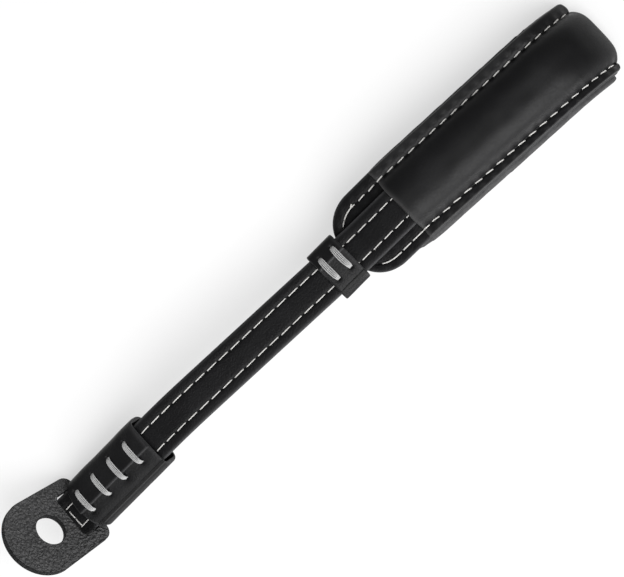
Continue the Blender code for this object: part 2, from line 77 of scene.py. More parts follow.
# Band, tab, sleeve and keeper, as the solids have them
BAND_HALF = 6.7 * MM
LAYER = 1.05 * MM
BAND_TOP = GAP / 2 + LAYER
LAYER_MIDDLE = BAND_TOP - LAYER / 2
TAIL_LENGTH = 22 * MM
LINING_INSET = 1.5 * MM
TAB_THICKNESS = 1.6 * MM
BAR_WIDTH = 2.4 * MM
BAR_PLAY = 0.5 * MM
BAR_SWING = math.hypot(BAR_WIDTH, TAB_THICKNESS) / 2
LOOP_REACH = 2.4 * MM
FOLD_REACH = 3.7 * MM
FOLD_SHIFT = 0.3 * MM
FOLD_WIDEN = 0.35 * MM
FOLD_LIFT = 0.75 * MM
LOOP_RADIUS = BAR_SWING + BAR_PLAY + LAYER / 2
LOOP_OUTER = LOOP_RADIUS + LAYER / 2
LOOP_HEIGHT = LAYER_MIDDLE - LOOP_RADIUS
HINGE_S = -(BAR_SWING + BAR_PLAY)
TAB_HALF = 12.2 * MM
TAB_NECK = 11.4 * MM
TAB_CORNER = 3.2 * MM
SLOT_WIDTH = 6.4 * MM
SLOT_HALF = BAND_HALF + 0.6 * MM
SLOT_CORNER = 2 * MM
SLOT_BAR_CORNER = 0.8 * MM
HOLE_RADIUS = 4.7 * MM
SLOT_TO_HOLE = 8.3 * MM
HOLE_TO_END = 16.1 * MM
TAB_ANGLE = 138 * DEG
TAB_SKEW = 4.2 * DEG
TAB_SWELL = 0.3 * MM
WALL = 1.3 * MM
CROWN = 0.15 * MM
INNER_CORNER = 1.0 * MM
SECTION_POWER = 3.4
SLEEVE_BOW = 2.0 * MM
KEEPER_LENGTH = 9.8 * MM
KEEPER_SKEW = 2.4 * DEG
KEEPER_TO_STEP = 0.6 * MM
STITCH_HIGH = 5.4 * MM
STITCH_LOW = -2.8 * MM
SLEEVE_STITCHES = 4
SLEEVE_PITCH = 7.7 * MM
SLEEVE_FIRST = 2.3 * MM
KEEPER_STITCHES = 2
KEEPER_PITCH = 4.9 * MM

# Pad, as the solids have it
BASE_THICKNESS = 1.6 * MM
BASE_TOP = -BAND_TOP - GAP
BASE_BOTTOM = BASE_TOP - BASE_THICKNESS
PAD_HALF_START = 13.2 * MM
PAD_HALF_END = 13.5 * MM
PAD_SHIFT = 0.8 * MM
PAD_TIP_S = STEP_S - 1.3 * MM
PAD_NOSE_LENGTH = 11.4 * MM
PAD_NOSE_POWER = 2.3
PAD_END_CORNER = 1.8 * MM
COVER_S = STEP_S + 21 * MM
COVER_SLANT = 5 * DEG
COVER_SLANT_RUN = 12 * MM
COVER_THICKNESS = 1.1 * MM
COVER_INSET = 0.2 * MM
COVER_FLANGE = BASE_TOP + SEW_GAP
COVER_INSIDE = BAND_TOP + GAP
COVER_CROWN = 1.2 * MM
COVER_END_CROWN = 0.2 * MM
COVER_CROWN_FADE = 26 * MM
ROW_HALF = 10.2 * MM
COVER_FOOT = 9.5 * MM
LOW_ROW_INSET = 0.8 * MM
PAD_SKEW = -0.7 * MM
LINING_S = STEP_S + 9 * MM
LINING_TOP = BASE_BOTTOM - SEW_GAP
LINING_DEPTH = 5 * MM
LINING_NOSE_DEPTH = 1.5 * MM
LINING_BULGE = 1.0 * MM
LINING_SHIFT = 0.4 * MM
LINING_NOSE_INSET = 2.2 * MM
LINING_NOSE_LENGTH = 16 * MM

# Thread and cord
THREAD_RADIUS = 0.18 * MM
BAND_ROW = 3.45 * MM
BAND_PITCH = 4.6 * MM
BAND_DASH = 3.5 * MM
PAD_PITCH = 4.17 * MM
PAD_DASH = 2.4 * MM
PAD_PHASE = COVER_S + 0.2 * MM
PAD_ROW_NOSE = 2.0 * MM
PAD_ROW_NOSE_LENGTH = 9 * MM
STITCH_SLANT = 6 * DEG
CORD_WIDTH = 1.9 * MM
CORD_STRANDS = 4
STRAND_RADIUS = 0.19 * MM

# Fineness of the meshes
FINE = 0.3 * MM
STATION = 0.5 * MM

# Stitches across the fold
CROSS_ROW_AFTER_FOLD = 4.4 * MM
CROSS_ROW_HIGH = 2.4 * MM
CROSS_ROW_LOW = -3.4 * MM
CROSS_STITCHES = 2

# Seams of the sleeve and the keeper
LOW_HALF_SLOPE = 0.19
SLEEVE_SEAM = -0.9 * MM
KEEPER_SEAM = 2.5 * MM

# Stitches round the pad's nose
HIGH_NOSE_STITCHES = (-2, ((-17.9, 1.3), (-16.4, 2.8), (-13.9, 2.8), (-16.3, 5.0)))
LOW_NOSE_STITCHES = (1, ((-16.8, 2.6), (-14.3, 4.0), (-9.5, 3.2), (-5.5, 5.2), (-0.2, 2.0)))
KNOT_S = -12.0 * MM

# Cushion and its cloth simulation
CUSHION_ROOM = 0.5 * MM
CUSHION_SPREAD = 0.1 * MM
CUSHION_SCALE = 20
CUSHION_VOXEL = 0.7 * MM
CUSHION_CAP = 0.6 * MM
CUSHION_FRAMES = 16
CUSHION_SMOOTHING = 6
CHANNEL_DEPTH = 1.3 * MM

# Floor and camera
FLOOR_GLOW = 0.55
IMAGE_WIDTH = 624
CAMERA_LEAN_X = 4.0 * DEG
CAMERA_LEAN_Y = 5 * DEG
CAMERA_ROLL = -42.68 * DEG
CAMERA_FOCAL_PIXELS = 3404
CAMERA_DISTANCE = 1.0
CAMERA_TARGET = (0, 0, 0.012)
CAMERA_OFFSET = (-0.00091, -0.00167)


def joint(name):
    return next(j for j in frame["record"]["behaviour"]["joints"] if j["name"] == name)


def segment_starts():
    """Where each stretch of the line starts: s, x, z, slope and bend."""
    rows, s, x, z, slope = [], 0.0, 0.0, 0.0, DROP_ANGLE
    for length, turn in SEGMENTS:
        rows.append((s, x, z, slope, turn / length))
        chord = length * (math.sin(turn / 2) / (turn / 2) if turn else 1)
        heading = slope + turn / 2
        s, x, z = s + length, x + chord * math.cos(heading), z + chord * math.sin(heading)
        slope += turn
    return np.array([*rows, (s, x, z, slope, 0.0)])


STARTS = segment_starts()


def line(s):
    """x, z and slope of the strap's line in side view, at distances s."""
    s = np.asarray(s, float)
    which = np.clip(np.searchsorted(STARTS[:, 0], s, side="right") - 1, 0, len(STARTS) - 1)
    s0, x0, z0, slope0, bend = np.moveaxis(STARTS[which], -1, 0)
    run = s - s0
    middle = slope0 + bend * run / 2
    chord = run * np.sinc(bend * run / 2 / np.pi)
    return x0 + chord * np.cos(middle), z0 + chord * np.sin(middle), slope0 + bend * run


def placement():
    """Rotation and shift from the side view to the row frame, from the two joints."""
    along = joint("keeper_slide")["axis"]
    size = math.hypot(along[0], along[2])
    c, s = along[0] / size, -along[2] / size
    turn = np.array([[c, 0, s], [0, 1, 0], [-s, 0, c]])
    x, z, slope = line(HINGE_S)
    hinge = np.array([x - LOOP_HEIGHT * np.sin(slope), 0, z + LOOP_HEIGHT * np.cos(slope)])
    return turn, np.array(joint("tab_swing")["pos_m"]) - turn @ hinge


TURN, SHIFT = placement()


def lay(s, y, h):
    """The point at distance s along the line, y across it and h square to it, in the row frame."""
    x, z, slope = line(s)
    side = np.stack(np.broadcast_arrays(x - h * np.sin(slope), y, z + h * np.cos(slope)), -1)
    return side @ TURN.T + SHIFT


def up_at(s):
    slope = line(s)[2]
    return np.stack([-np.sin(slope), np.zeros_like(slope), np.cos(slope)], -1) @ TURN.T


def spread(low, high, step):
    return np.linspace(low, high, max(int(round((high - low) / step)), 1) + 1)


def bump_at(distance, width):
    """A soft round bump, 1 at distance 0 and nearly 0 past twice the width."""
    return np.exp(-((distance / width) ** 2))


def unevenness(points, size, seed):
    """Smooth noise from -1 to 1 over an array of points, with features of about that size."""
    flat = points.reshape(-1, 3) / size + seed * 17.3
    values = [noise.noise(Vector(p)) for p in flat]
    return np.array(values).reshape(points.shape[:-1])


def object_from(name, points, faces, attributes=None):
    mesh = bpy.data.meshes.new(name)
    mesh.from_pydata(points.reshape(-1, 3).tolist(), [], faces)
    shape = bmesh.new()
    shape.from_mesh(mesh)
    bmesh.ops.recalc_face_normals(shape, faces=shape.faces)
    shape.to_mesh(mesh)
    shape.free()
    mesh.shade_smooth()
    for key, values in (attributes or {}).items():
        layer = mesh.attributes.new(key, "FLOAT", "POINT")
        layer.data.foreach_set("value", np.asarray(values, np.float32).ravel())
    obj = bpy.data.objects.new(name, mesh)
    bpy.context.scene.collection.objects.link(obj)
    return obj


def grid_faces(index, wrap_rows=False, wrap_columns=False, caps=False):
    """Quads over a grid of vertex numbers, wrapped round in either direction."""
    ends = [index[0][::-1].tolist(), index[-1].tolist()] if caps else []
    if wrap_rows:
        index = np.vstack([index, index[:1]])
    if wrap_columns:
        index = np.hstack([index, index[:, :1]])
    quads = np.stack([index[:-1, :-1], index[:-1, 1:], index[1:, 1:], index[1:, :-1]], -1)
    return quads.reshape(-1, 4).tolist() + ends


def grid_object(name, points, attributes=None, **wraps):
    index = np.arange(points.shape[0] * points.shape[1]).reshape(points.shape[:2])
    return object_from(name, points, grid_faces(index, **wraps), attributes)


def dress(obj, material, body, slot, *nodes):
    """Gives a piece its material and its body, and hides the nodes that it stands for. The slot argument is not
    used.
    """
    obj.data.materials.append(material)
    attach(obj, body)
    if nodes:
        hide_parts(*nodes)
    return obj


# Materials


def new_material(name, colour, roughness, shine=0.5):
    material = bpy.data.materials.new(name)
    material.use_nodes = True
    shader = material.node_tree.nodes["Principled BSDF"]
    shader.inputs["Base Color"].default_value = (*colour, 1)
    shader.inputs["Roughness"].default_value = roughness
    shader.inputs["Specular IOR Level"].default_value = shine
    return material, material.node_tree, shader


def math_node(tree, kind, a, b=0.5):
    node = tree.nodes.new("ShaderNodeMath")
    node.operation = kind
    for socket, value in zip(node.inputs, (a, b)):
        if isinstance(value, (int, float)):
            socket.default_value = value
        else:
            tree.links.new(value, socket)
    return node.outputs[0]


def ramp_node(tree, value, low, high, start=0.0, end=1.0):
    node = tree.nodes.new("ShaderNodeMapRange")
    node.inputs["From Min"].default_value = start
    node.inputs["From Max"].default_value = end
    node.inputs["To Min"].default_value = low
    node.inputs["To Max"].default_value = high
    tree.links.new(value, node.inputs["Value"])
    return node.outputs["Result"]


def mix_colour(tree, factor, a, b):
    node = tree.nodes.new("ShaderNodeMix")
    node.data_type = "RGBA"
    tree.links.new(factor, node.inputs["Factor"])
    for socket, value in ((node.inputs[6], a), (node.inputs[7], b)):
        if isinstance(value, tuple):
            socket.default_value = (*value, 1)
        else:
            tree.links.new(value, socket)
    return node.outputs[2]


def noise_node(tree, place, scale, detail=3.0, roughness=0.55):
    node = tree.nodes.new("ShaderNodeTexNoise")
    node.inputs["Scale"].default_value = scale
    node.inputs["Detail"].default_value = detail
    node.inputs["Roughness"].default_value = roughness
    tree.links.new(place, node.inputs["Vector"])
    return node.outputs[0]


def cells_node(tree, place, scale, feature="SMOOTH_F1"):
    node = tree.nodes.new("ShaderNodeTexVoronoi")
    node.feature = feature
    node.inputs["Scale"].default_value = scale
    tree.links.new(place, node.inputs["Vector"])
    return node.outputs["Distance"]


def attribute_node(tree, name):
    node = tree.nodes.new("ShaderNodeAttribute")
    node.attribute_name = name
    return node.outputs["Fac"]


def leather(name, colour, edge_paint_and_highlight, roughness, shine, grain, depth, fine_depth, cover=False):
    """Grained leather. Grain is the size of a pebble, and the edge colour goes on cut and rounded edges: a
    painted highlight where it is lighter than the face, edge paint where it is darker.
    """
    material, tree, shader = new_material(name, colour, roughness, shine)
    place = tree.nodes.new("ShaderNodeTexCoord").outputs["Object"]
    warp = tree.nodes.new("ShaderNodeVectorMath")
    warp.operation = "ADD"
    wobble = tree.nodes.new("ShaderNodeTexNoise")
    wobble.inputs["Scale"].default_value = 0.7 / grain
    tree.links.new(place, wobble.inputs["Vector"])
    shrink = tree.nodes.new("ShaderNodeVectorMath")
    shrink.operation = "SCALE"
    shrink.inputs["Scale"].default_value = grain * 0.8
    tree.links.new(wobble.outputs["Color"], shrink.inputs[0])
    tree.links.new(place, warp.inputs[0])
    tree.links.new(shrink.outputs[0], warp.inputs[1])
    warped = warp.outputs[0]
    pebbles = ramp_node(tree, cells_node(tree, warped, 1 / grain), 1, 0, 0.0, 0.75)
    creases = ramp_node(tree, cells_node(tree, warped, 0.62 / grain, "DISTANCE_TO_EDGE"), 0, 1, 0.0, 0.16)
    pores = noise_node(tree, place, 3.2 / grain, 2.0)
    height = math_node(tree, "ADD", pebbles, math_node(tree, "MULTIPLY", creases, 0.35))
    height = math_node(tree, "ADD", height, math_node(tree, "MULTIPLY", pores, fine_depth / depth))
    broad = noise_node(tree, place, 90, 3.0)
    edge = attribute_node(tree, "edge")
    bump = tree.nodes.new("ShaderNodeBump")
    bump.inputs["Distance"].default_value = depth
    tree.links.new(height, bump.inputs["Height"])
    if edge_paint_and_highlight < colour:
        tree.links.new(ramp_node(tree, edge, shine, 0.08), shader.inputs["Specular IOR Level"])
    if cover:
        tree.links.new(ramp_node(tree, attribute_node(tree, "margin"), 0.16, 0.4), bump.inputs["Strength"])
    tree.links.new(bump.outputs[0], shader.inputs["Normal"])
    darker = tuple(c * 0.72 for c in colour)
    lighter = tuple(c * 1.35 for c in colour)
    tone = mix_colour(tree, ramp_node(tree, broad, 0, 1, 0.3, 0.7), darker, lighter)
    # Painted shade: darker in the hollows between the pebbles.
    tone = mix_colour(tree, ramp_node(tree, pebbles, 0.55, 0.0, 0.2, 0.75), tone, darker)
    # Edge colour where the mesh marks edges: a painted highlight on the lighter leathers, edge paint on the tab.
    edge_paint_and_highlight_share = math_node(tree, "MULTIPLY", edge, ramp_node(tree, pores, 0.45, 1.0, 0.35, 0.6))
    tone = mix_colour(tree, edge_paint_and_highlight_share, tone, edge_paint_and_highlight)
    # Painted shade: near black where the mesh marks it, in the needle holes, under the sleeve's flap and inside
    # the sleeve.
    tone = mix_colour(tree, attribute_node(tree, "painted_shade"), tone, (0.002, 0.002, 0.002))
    tree.links.new(tone, shader.inputs["Base Color"])
    gloss = math_node(tree, "ADD", ramp_node(tree, broad, -0.06, 0.06, 0.3, 0.7), roughness)
    gloss = math_node(tree, "ADD", gloss, ramp_node(tree, pebbles, 0.1, -0.04))
    tree.links.new(gloss, shader.inputs["Roughness"])
    return material


def thread_material(name, colour, strand):
    """Spun thread, with fibres at the size of a strand."""
    material, tree, shader = new_material(name, colour, 0.72)
    shader.inputs["Sheen Weight"].default_value = 0.25
    place = tree.nodes.new("ShaderNodeTexCoord").outputs["Object"]
    fibres = noise_node(tree, place, 2.2 / strand, 4.0, 0.7)
    patches = noise_node(tree, place, 160, 2.0)
    bump = tree.nodes.new("ShaderNodeBump")
    bump.inputs["Distance"].default_value = strand * 0.35
    bump.inputs["Strength"].default_value = 0.7
    tree.links.new(fibres, bump.inputs["Height"])
    tree.links.new(bump.outputs[0], shader.inputs["Normal"])
    dim = tuple(c * 0.62 for c in colour)
    tone = mix_colour(tree, ramp_node(tree, fibres, 0, 1, 0.3, 0.62), dim, colour)
    tone = mix_colour(tree, ramp_node(tree, patches, 0, 0.35, 0.45, 0.75), tone, dim)
    tree.links.new(tone, shader.inputs["Base Color"])
    return material


# Each leather's second colour is its edge colour: the lighter ones are a painted highlight along the edges, the
# tab's darker one is its edge paint.
BAND_LEATHER = leather(
    "band_leather", (0.006, 0.006, 0.0065), (0.05, 0.05, 0.052), 0.38, 0.11, 0.55 * MM, 0.05 * MM, 0.02 * MM,
)
WRAP_LEATHER = leather(
    "wrap_leather", (0.006, 0.006, 0.0065), (0.06, 0.06, 0.062), 0.38, 0.18, 0.5 * MM, 0.035 * MM, 0.02 * MM,
)
COVER_LEATHER = leather(
    "cover_leather", (0.005, 0.005, 0.0055), (0.045, 0.045, 0.045), 0.38, 0.2, 0.6 * MM, 0.06 * MM, 0.015 * MM,
    cover=True,
)
TAB_LEATHER = leather(
    "tab_leather", (0.046, 0.046, 0.047), (0.006, 0.006, 0.0065), 0.55, 0.45, 0.95 * MM, 0.95 * MM, 0.2 * MM,
)
LINING_LEATHER = leather(
    "lining_leather", (0.035, 0.035, 0.036), (0.03, 0.03, 0.03), 0.5, 0.4, 0.7 * MM, 0.05 * MM, 0.02 * MM,
)
THREAD = thread_material("thread", (0.6, 0.59, 0.57), THREAD_RADIUS)
CORD = thread_material("cord", (0.41, 0.41, 0.41), STRAND_RADIUS)


# Band


def strip_section(half, thickness, corner, face_step=FINE):
    """The closed outline of a leather strip, with its upper face first: (across, height)."""
    corner = min(corner, thickness / 2 * 0.98)
    face = spread(-half + corner, half - corner, face_step)
    turn = np.linspace(0, 90, 6)[1:-1] * DEG
    top = np.stack([face, np.full_like(face, thickness / 2)], 1)
    right = np.stack([
        half - corner + corner * np.sin(turn),
        thickness / 2 - corner + corner * np.cos(turn),
    ], 1)
    side = np.array([[half, thickness / 2 - corner], [half, corner - thickness / 2]])
    right = np.vstack([right, side, (right * (1, -1))[::-1]])
    return np.vstack([top, right, (top * (1, -1))[::-1], (right * (-1, -1))])


def row_relief(across, along, row, pitch, dash, depth=0.16 * MM):
    """A sewn channel at |across| = row, with its needle holes: (relief, painted shade in the holes)."""
    off = np.abs(np.abs(across) - row)
    phase = np.abs((along / pitch + 0.5) % 1 - 0.5) * pitch
    hole = np.abs(phase - dash / 2)
    channel = depth * bump_at(off, 0.42 * MM) + 0.5 * depth * bump_at(off, 1.1 * MM)
    painted_shade = bump_at(np.hypot(off, hole), 0.26 * MM)
    return -channel - 0.35 * MM * painted_shade, painted_shade


def band_path():
    """The front layer's middle line: from its tail in the sleeve, round the fold, to the far end."""
    centre = HINGE_S - FOLD_REACH
    tail = spread(centre, HINGE_S - LOOP_REACH + TAIL_LENGTH, STATION)[:0:-1]
    turns = np.linspace(0, math.pi, 25)[:-1]
    run = spread(centre, END_S - GAP, STATION)
    s = np.concatenate([tail, centre - LOOP_RADIUS * np.sin(turns), run])
    h = np.concatenate([
        np.full_like(tail, LOOP_HEIGHT - LOOP_RADIUS),
        LOOP_HEIGHT - LOOP_RADIUS * np.cos(turns),
        np.full_like(run, LAYER_MIDDLE),
    ])
    facing = np.concatenate([np.full_like(tail, math.pi), math.pi - turns, np.zeros_like(run)])
    h = h + FOLD_LIFT * np.clip((HINGE_S - 1.3 * MM - s) / FOLD_REACH, 0, 1)
    return s, h, facing


def strip(name, s, h, facing, half, along, shift=0.0):
    """A leather strip swept along (s, h), its outer face turned by facing from the line's own up."""
    section = strip_section(half, LAYER, 0.4 * MM)
    across, height = section.T
    on_top = np.clip(height / (LAYER / 2), 0, 1)
    relief, painted_shade = row_relief(across[None, :], along[:, None], BAND_ROW, BAND_PITCH, BAND_DASH)
    fade = np.where(on_top > 0.98, 1.0, 0.0)
    lift = relief * fade
    edge_round = -0.12 * MM * bump_at(half - np.abs(across), 0.9 * MM) * on_top
    out = height[None, :] + lift + edge_round[None, :]
    at_fold = np.clip((1.5 * MM - s) / (3 * MM), 0, 1)[:, None] if shift else 0
    wider = across[None, :] * (1 + FOLD_WIDEN / half * at_fold)
    points = lay(
        s[:, None] - out * np.sin(facing)[:, None],
        wider + shift * at_fold * (1 + np.cos(facing))[:, None] / 2 + skew(s)[:, None],
        h[:, None] + out * np.cos(facing)[:, None],
    )
    points = points + up_at(s)[:, None, :] * (0.05 * MM * unevenness(points, 9 * MM, 1))[..., None]
    # Painted highlight: lighter edge colour along both edges of the strip.
    edge = np.broadcast_to(bump_at(half - np.abs(across), 0.55 * MM), points.shape[:2])
    attributes = {"edge": edge, "painted_shade": painted_shade * fade}
    return grid_object(name, points, attributes, wrap_columns=True, caps=True)


def arc_length(s, h):
    x, z, slope = line(s)
    px, pz = x - h * np.sin(slope), z + h * np.cos(slope)
    steps = np.hypot(np.diff(px), np.diff(pz))
    return np.concatenate([[0], np.cumsum(steps)])


def make_bands():
    s, h, facing = band_path()
    along = arc_length(s, h)
    zero = along[np.argmin(np.abs(s - (SLEEVE_LENGTH + SLEEVE_TO_BEND)) + 10 * (facing > 0))]
    along = along - zero
    front = strip("band_front_skin", s, h, facing, BAND_HALF, along, FOLD_SHIFT)
    dress(front, BAND_LEATHER, "strap", "band_leather", "band_front")
    back_s = spread(LINING_INSET, END_S - GAP, STATION)
    flat = np.full_like(back_s, -LAYER_MIDDLE)
    turned = np.full_like(back_s, math.pi)
    back = strip("band_back_skin", back_s, flat, turned, BAND_HALF, back_s - SLEEVE_LENGTH)
    dress(back, BAND_LEATHER, "strap", "band_leather", "band_back")
    rows_of_stitches("band_front_thread", s, h, facing, along, along[np.argmin(s)])
    rows_of_stitches("band_back_thread", back_s, flat, turned, back_s - SLEEVE_LENGTH, -SLEEVE_LENGTH)
    cross_row(s, h, facing, along)


# Thread


def tubes(name, routes, ups, radius, plies=2, twist=1.1 * MM, depth=0.14, sides=10, flat=1.0):
    """Spun threads along many routes at once: routes and ups are (thread, point, xyz)."""
    tangent = np.gradient(routes, axis=1)
    tangent /= np.linalg.norm(tangent, axis=-1, keepdims=True)
    side = np.cross(tangent, ups)
    side /= np.linalg.norm(side, axis=-1, keepdims=True)
    over = np.cross(side, tangent)
    steps = np.linalg.norm(np.diff(routes, axis=1), axis=-1)
    run = np.concatenate([np.zeros((len(routes), 1)), np.cumsum(steps, axis=1)], axis=1)
    angle = np.arange(sides) / sides * 2 * math.pi
    swell = 1 + depth * np.cos(plies * (angle - 2 * math.pi * run[..., None] / twist))
    size = (radius * swell)[..., None]
    ring = np.cos(angle)[:, None] * side[..., None, :] + flat * np.sin(angle)[:, None] * over[..., None, :]
    points = routes[..., None, :] + size * ring
    count, steps_along = routes.shape[:2]
    index = np.arange(count * steps_along * sides).reshape(count, steps_along, sides)
    faces = [face for thread in index for face in grid_faces(thread, wrap_columns=True, caps=True)]
    return object_from(name, points, faces)


def stitch_shape(dash, radius, sink, count=15):
    """Along and above the leather, from one needle hole to the next."""
    share = np.linspace(-1, 1, count)
    rise = radius * 0.75 - (sink + radius * 0.75) * np.abs(share) ** 7
    return share * dash / 2, rise


def rows_of_stitches(name, s, h, facing, along, start):
    """Both rows of machine stitches on one layer of the band."""
    run, rise = stitch_shape(BAND_DASH, THREAD_RADIUS, 0.3 * MM)
    first = math.ceil((max(along[0], start) + BAND_DASH) / BAND_PITCH)
    last = math.floor((along[-1] - BAND_DASH) / BAND_PITCH)
    middles = np.arange(first, last + 1) * BAND_PITCH
    routes, ups = [], []
    for side in (1, -1):
        for number, middle in enumerate(middles):
            at = middle + run
            ss, hh, turn = (np.interp(at, along, v) for v in (s, h, facing))
            out = LAYER / 2 + rise - 0.13 * MM
            wander = 0.05 * MM * noise.noise(Vector((number * 1.7, side * 3.1, 0.4)))
            across = side * BAND_ROW + wander + run * math.tan(STITCH_SLANT * 0.4) + skew(ss)
            routes.append(lay(ss - out * np.sin(turn), across, hh + out * np.cos(turn)))
            ups.append(routes[-1] - lay(ss, across, hh))
    thread = tubes(name, np.array(routes), np.array(ups), THREAD_RADIUS)
    return dress(thread, THREAD, "strap", "waxed_cord")


def cross_row(s, h, facing, along):
    """The short row across the fold, where the two band rows end in the tab's slot."""
    fold = along[np.argmin(np.where(facing > 0, s, 1))]
    at = fold + CROSS_ROW_AFTER_FOLD
    ss, hh, turn = (np.interp(at, along, v) for v in (s, h, facing))
    length = CROSS_ROW_HIGH - CROSS_ROW_LOW
    run, rise = stitch_shape(length / CROSS_STITCHES * 0.9, THREAD_RADIUS, 0.25 * MM)
    routes, ups = [], []
    for number in range(CROSS_STITCHES):
        middle = CROSS_ROW_LOW + length * (number + 0.5) / CROSS_STITCHES
        out = LAYER / 2 + rise
        routes.append(lay(ss - out * np.sin(turn), middle + run, hh + out * np.cos(turn)))
        ups.append(routes[-1] - lay(ss, middle + run, hh))
    thread = tubes("band_cross_thread", np.array(routes), np.array(ups), THREAD_RADIUS)
    return dress(thread, THREAD, "strap", "waxed_cord")


# Sleeve and keeper


def even_loop(points, step):
    """A closed loop of points, resampled at even steps."""
    closed = np.vstack([points, points[:1]])
    run = np.concatenate([[0], np.cumsum(np.linalg.norm(np.diff(closed, axis=0), axis=1))])
    count = int(round(run[-1] / step))
    at = np.arange(count) / count * run[-1]
    return np.stack([np.interp(at, run, closed[:, k]) for k in (0, 1)], 1)


def soft_box(half, height, power, step):
    angle = np.arange(1440) / 1440 * 2 * math.pi
    c, s = np.cos(angle), np.sin(angle)
    curve = np.stack([
        np.sign(c) * np.abs(c) ** (2 / power) * half,
        np.sign(s) * np.abs(s) ** (2 / power) * height,
    ], 1)
    return even_loop(curve, step)


def box_ray(direction, half, height, corner):
    """Where a ray from the middle leaves a rounded box."""
    out = np.empty_like(direction)
    for i, (dy, dz) in enumerate(direction):
        far = min(half / max(abs(dy), 1e-9), height / max(abs(dz), 1e-9))
        y, z = dy * far, dz * far
        over_y, over_z = abs(y) - (half - corner), abs(z) - (height - corner)
        if over_y > 0 and over_z > 0:
            cy, cz = math.copysign(half - corner, y), math.copysign(height - corner, z)
            b = dy * cy + dz * cz
            far = b + math.sqrt(max(b * b - (cy * cy + cz * cz - corner * corner), 0))
            y, z = dy * far, dz * far
        out[i] = (y, z)
    return out


def rim_profile(length, rounding):
    """The wall's closed outline in (x, share of the wall's thickness), and how much of it faces out."""
    x = spread(-length / 2 + rounding, length / 2 - rounding, FINE)
    turn = np.linspace(0, 90, 6)[1:-1] * DEG
    deep = rounding / WALL
    outer = np.stack([x, 0 * x, 1 + 0 * x], 1)
    right = np.stack([
        length / 2 - rounding + rounding * np.sin(turn), deep * (1 - np.cos(turn)), np.cos(turn),
    ], 1)
    side = np.array([[length / 2, deep, 0], [length / 2, 0.5, 0], [length / 2, 1 - deep, 0]])
    back = right[::-1] * (1, -1, 0) + (0, 1, 0)
    inner = x[::-1][:: 6]
    inner = np.stack([inner, 1 + 0 * inner, 0 * inner], 1)
    half_turn = np.vstack([right, side, back])
    other = half_turn[::-1] * (-1, 1, 1)
    return np.vstack([outer, half_turn, inner, other])


def wrap(name, length, inner_half, inner_height, seam, holes, settle, bow, seed):
    """A leather tube whose flap overlaps at a seam, with its needle holes pulled in. Shade is painted in the
    holes, under the flap's edge and inside, and a highlight along the flap's edge and the rims.
    """
    half, height = inner_half + WALL, inner_height + WALL + CROWN
    ring = soft_box(half, height, SECTION_POWER, FINE)
    seam_z = height * (1 - abs(seam / half) ** SECTION_POWER) ** (1 / SECTION_POWER)
    nearest = np.argmin(np.hypot(ring[:, 0] - seam, ring[:, 1] - seam_z))
    cut = np.array([[seam + step * MM, seam_z] for step in (0.05, 0.02, -0.02, -0.05)])
    ring = np.vstack([ring[:nearest], cut, ring[nearest + 1 :]])
    tangent = np.roll(ring, -1, 0) - np.roll(ring, 1, 0)
    normal = np.stack([tangent[:, 1], -tangent[:, 0]], 1)
    normal /= np.linalg.norm(normal, axis=1, keepdims=True)
    direction = ring / np.linalg.norm(ring, axis=1, keepdims=True)
    inside = box_ray(direction, inner_half, inner_height, INNER_CORNER)
    x, deep, out = rim_profile(length, 0.45 * MM).T
    points = ring[:, None, :] + (inside - ring)[:, None, :] * deep[None, :, None]
    rim_off = length / 2 - x
    y, z = ring[:, 0][:, None], ring[:, 1][:, None]
    front = z > 0
    above = (y - seam) * front
    flap = np.where(front & (y >= seam), 0.4 * MM * bump_at(y - seam, 2.6 * MM), 0.0)
    under = np.where(front & (y < seam), -0.3 * MM * bump_at(y - seam, 3.2 * MM), 0.0)
    fall = np.clip(seam - y, 0, None)
    slope = LOW_HALF_SLOPE * fall * (1 - fall / (24 * MM)) * np.clip(z / height * 2, 0, 1)
    lift = flap + under - slope + 0 * x[None, :]
    painted_shade = np.zeros_like(lift)
    for hole_x, hole_y in holes:
        away = np.hypot(x[None, :] - hole_x, y - hole_y) + np.where(front, 0, 1)
        lift = lift - 0.5 * MM * bump_at(away, 0.55 * MM) - 0.2 * MM * bump_at(away, 1.8 * MM)
        painted_shade = painted_shade + bump_at(away, 0.5 * MM)
    place = np.stack([x[None, :] + 0 * y, y + 0 * x[None, :], z + 0 * x[None, :]], -1)
    lift = lift + 0.12 * MM * unevenness(place, 6 * MM, seed)
    points = points + normal[:, None, :] * (lift * out[None, :])[..., None]
    y, z = points[..., 0], points[..., 1]
    pull = np.clip(-x / (length / 2), 0, 1)[None, :] ** 2
    x = x[None, :] - bow * (1 - (y / half) ** 2) * np.clip(z / height, 0, 1) * pull
    # Painted highlight: lighter edge colour on the rim's end faces and in a band along the rims.
    edge = np.clip(1 - out, 0, 1)[None, :] * (deep < 0.9)[None, :] * 0.8 + 0 * y
    # Painted highlight: a light line along the flap's edge at the seam.
    edge = np.maximum(edge, bump_at(above - 0.1 * MM, 0.24 * MM) * out[None, :] * front)
    edge = np.maximum(edge, 0.4 * bump_at(rim_off, 0.9 * MM)[None, :] * out[None, :])
    # Painted shadow: a dark line on the lower half just under the flap's edge.
    painted_shade = painted_shade + 0.7 * bump_at(above + 0.42 * MM, 0.3 * MM) * front
    # Painted shade: the holes, the line under the flap, and the whole inside of the tube, which is painted black.
    attributes = {"edge": edge, "painted_shade": np.clip(painted_shade * out[None, :] + (deep > 0.9)[None, :], 0, 1)}
    return grid_object(name, settle(x, y, z), attributes, wrap_rows=True, wrap_columns=True), (half, height)


